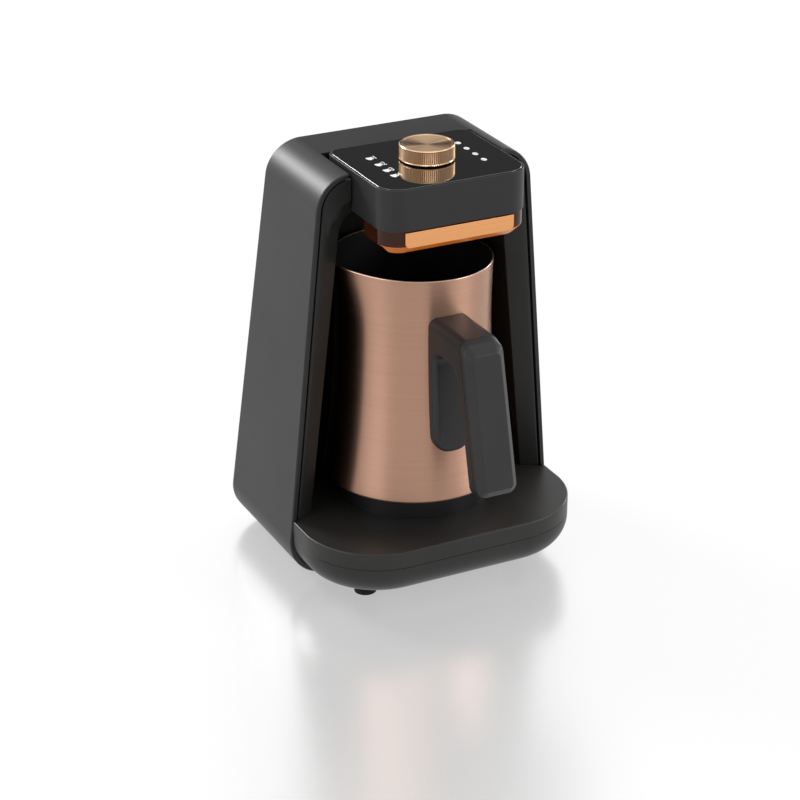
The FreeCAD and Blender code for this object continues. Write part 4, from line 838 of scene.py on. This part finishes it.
def printedCup(x, y, z):
    # a round bowl seen from the side, cut from a disc, with a round ear
    size, wire = symbols["cup"], symbols["earWire"]
    bowl = inkDisc(size, x, y, z)
    brim = (x, y + size * symbols["brim"], z)
    bpy.ops.mesh.bisect(plane_co=brim, plane_no=(0, 1, 0), use_fill=True, clear_outer=True)
    bpy.ops.object.mode_set(mode="OBJECT")
    aside, down = symbols["earPlace"]
    bpy.ops.mesh.primitive_torus_add(major_radius=size * symbols["ear"], minor_radius=size * wire,
                                     major_segments=20, minor_segments=6,
                                     location=(x + size * aside, y - size * down, z))
    ear = bpy.context.active_object
    ear.scale.z = symbols["thick"] / (size * 2 * wire)
    bpy.ops.object.transform_apply(location=True, scale=True)
    for part in (bowl, ear):
        for vertex in part.data.vertices:
            vertex.co.y = y + (vertex.co.y - y) * symbols["stretch"]
    return [bowl, ear]


def printedBean(x, y, z, turn):
    # two half ovals with a slit between them
    size, slit = symbols["bean"], symbols["slit"]
    wide, long = symbols["beanShape"]
    halves = []
    for side in (1, -1):
        half = inkDisc(size, x, y, z)
        across = (side * math.cos(turn), side * math.sin(turn), 0)
        cut = (x + across[0] * size * slit, y + across[1] * size * slit, z)
        bpy.ops.mesh.bisect(plane_co=cut, plane_no=across, use_fill=True, clear_inner=True)
        bpy.ops.mesh.select_all(action="SELECT")
        bpy.ops.transform.resize(value=(wide, symbols["stretch"] * long, 1), center_override=(x, y, z))
        bpy.ops.object.mode_set(mode="OBJECT")
        halves.append(half)
    return halves


def makeSymbols():
    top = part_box("glass_panel")[1].z + symbols["lift"]
    made = []
    for number, row in enumerate(symbols["leftRows"], start=1):
        y = row * mm
        made += printedCup(-symbols["column"] - symbols["cupAside"], y, top)
        made.append(printedDigit(str(number), -symbols["column"] + symbols["digitAside"], y, top))
    for turn, row in zip(symbols["beanTurns"], symbols["rightRows"]):
        made += printedBean(symbols["column"], row * mm, top, math.radians(turn))
    piece = joinPieces(made, "panelSymbols")
    piece.data.materials.clear()
    piece.data.materials.append(whiteInkWithGlow)
    finishPiece(piece, "machine", "panel_glass")
    print("symbols:", len(piece.data.polygons), "faces")


makeSymbols()


# Stage: camera where the photograph was taken, pale floor, soft light.

camera = {
    "place": (-0.55927, -1.09433, 0.67725),
    "azimuth": -26.43,
    "elevation": 25.16,
    "lens": 107.98,
    "sensor": 36,
}
tilt, heading = math.radians(90 - camera["elevation"]), math.radians(camera["azimuth"])
bpy.ops.object.camera_add(location=camera["place"], rotation=(tilt, 0, heading))
viewer = bpy.context.active_object
viewer.data.lens = camera["lens"]
viewer.data.sensor_width = camera["sensor"]
bpy.context.scene.camera = viewer
bpy.context.scene.view_settings.view_transform = "Standard"

floor = {
    "size": 8.0,
    "drop": 0.02 * mm,
    "mirror": 0.42,
    "blur": 0.24,
    "shade": 0.2,
    "mirrored": 0.85,
    "colour": "#f4f4f4",
}


def makeFloor():
    bpy.ops.object.select_all(action="DESELECT")
    bpy.ops.mesh.primitive_plane_add(size=floor["size"], location=(0, 0, -floor["drop"]))
    plane = bpy.context.active_object
    plane.name = "floor"
    material = bpy.data.materials.new("paleFloor")
    tree = emptyTree(material)
    rays = addNode(tree, "ShaderNodeLightPath")
    matt = addNode(tree, "ShaderNodeBsdfDiffuse", {"Color": toLinear(floor["colour"])})
    glow = addNode(tree, "ShaderNodeEmission", {"Strength": 1.0})
    white = addNode(tree, "ShaderNodeMixShader", {0: floor["shade"]},
                    {1: glow.outputs[0], 2: matt.outputs[0]})
    mirror = addNode(tree, "ShaderNodeBsdfGlossy", {"Roughness": floor["blur"], "Color": toLinear("#ffffff")})
    seen = addNode(tree, "ShaderNodeMixShader", {0: floor["mirror"]},
                   {1: white.outputs[0], 2: mirror.outputs[0]})
    soft = addNode(tree, "ShaderNodeEmission", {"Strength": floor["mirrored"]})

    # the camera sees white with a soft mirror image, mirrors see a plain white, lamps light its matt colour
    direct = addNode(tree, "ShaderNodeMixShader",
                     links={0: rays.outputs["Is Camera Ray"], 1: matt.outputs[0], 2: seen.outputs[0]})
    mix = addNode(tree, "ShaderNodeMixShader",
                  links={0: rays.outputs["Is Glossy Ray"], 1: direct.outputs[0], 2: soft.outputs[0]})
    addNode(tree, "ShaderNodeOutputMaterial", links={"Surface": mix.outputs[0]})
    plane.data.materials.append(material)


makeFloor()

# a dark flag behind and above, seen only in the glass and the top of the body
flag = {"place": (0.105, 0.2, 0.33), "size": (0.22, 0.1), "aim": (0, 0, 0.245), "glow": 0.08}


def makeFlag():
    bpy.ops.object.select_all(action="DESELECT")
    bpy.ops.mesh.primitive_plane_add(size=1, location=flag["place"])
    card = bpy.context.active_object
    card.name = "darkFlag"
    card.scale = (flag["size"][0], flag["size"][1], 1)
    view = Vector(flag["aim"]) - Vector(flag["place"])
    card.rotation_euler = view.to_track_quat("Z", "Y").to_euler()
    card.visible_camera = card.visible_diffuse = card.visible_shadow = False
    material = bpy.data.materials.new("blackFelt")
    tree = emptyTree(material)
    felt = addNode(tree, "ShaderNodeEmission", {"Color": toLinear("#ffffff"), "Strength": flag["glow"]})
    addNode(tree, "ShaderNodeOutputMaterial", links={"Surface": felt.outputs[0]})
    card.data.materials.append(material)


makeFlag()

lamps = [
    # name, place, power, size: each points at the middle of the machine
    ("rearRim", (-0.95, 1.75, 1.15), 40.0, 0.7),
    ("leftSoftbox", (-1.45, -0.35, 0.7), 5.5, 0.7),
    ("rightSoftbox", (1.2, -1.0, 0.7), 9.0, 0.6),
    ("rightRim", (1.6, 0.55, 0.45), 8.0, 0.5),
    ("topSoftbox", (0.2, -0.2, 1.9), 3.5, 1.2),
]
aim = Vector((0, 0, 0.13))
for name, place, power, size in lamps:
    bpy.ops.object.light_add(type="AREA", location=place)
    lamp = bpy.context.active_object
    lamp.name = name
    lamp.rotation_euler = (aim - Vector(place)).to_track_quat("-Z", "Y").to_euler()
    lamp.data.energy = power
    lamp.data.size = size

studio = {"seen": 1.0, "reflected": 1.0, "ambient": 0.5}


def makeWorld():
    # white to the camera, to mirrors and through clear material, softer where it lights the object
    world = bpy.data.worlds.new("studio")
    bpy.context.scene.world = world
    tree = emptyTree(world)
    rays = addNode(tree, "ShaderNodeLightPath")
    glossy = addNode(tree, "ShaderNodeMapRange", {"To Min": studio["ambient"], "To Max": studio["reflected"]},
                     {"Value": rays.outputs["Is Glossy Ray"]})
    direct = addNode(tree, "ShaderNodeMath", {"operation": "MAXIMUM"},
                     {0: rays.outputs["Is Camera Ray"], 1: rays.outputs["Is Transmission Ray"]})
    level = addNode(tree, "ShaderNodeMapRange", {"To Max": studio["seen"]},
                    {"Value": direct.outputs[0], "To Min": glossy.outputs[0]})
    sky = addNode(tree, "ShaderNodeBackground", {"Color": toLinear("#ffffff")},
                  {"Strength": level.outputs[0]})
    addNode(tree, "ShaderNodeOutputWorld", links={"Surface": sky.outputs[0]})


makeWorld()
print("stage ready")
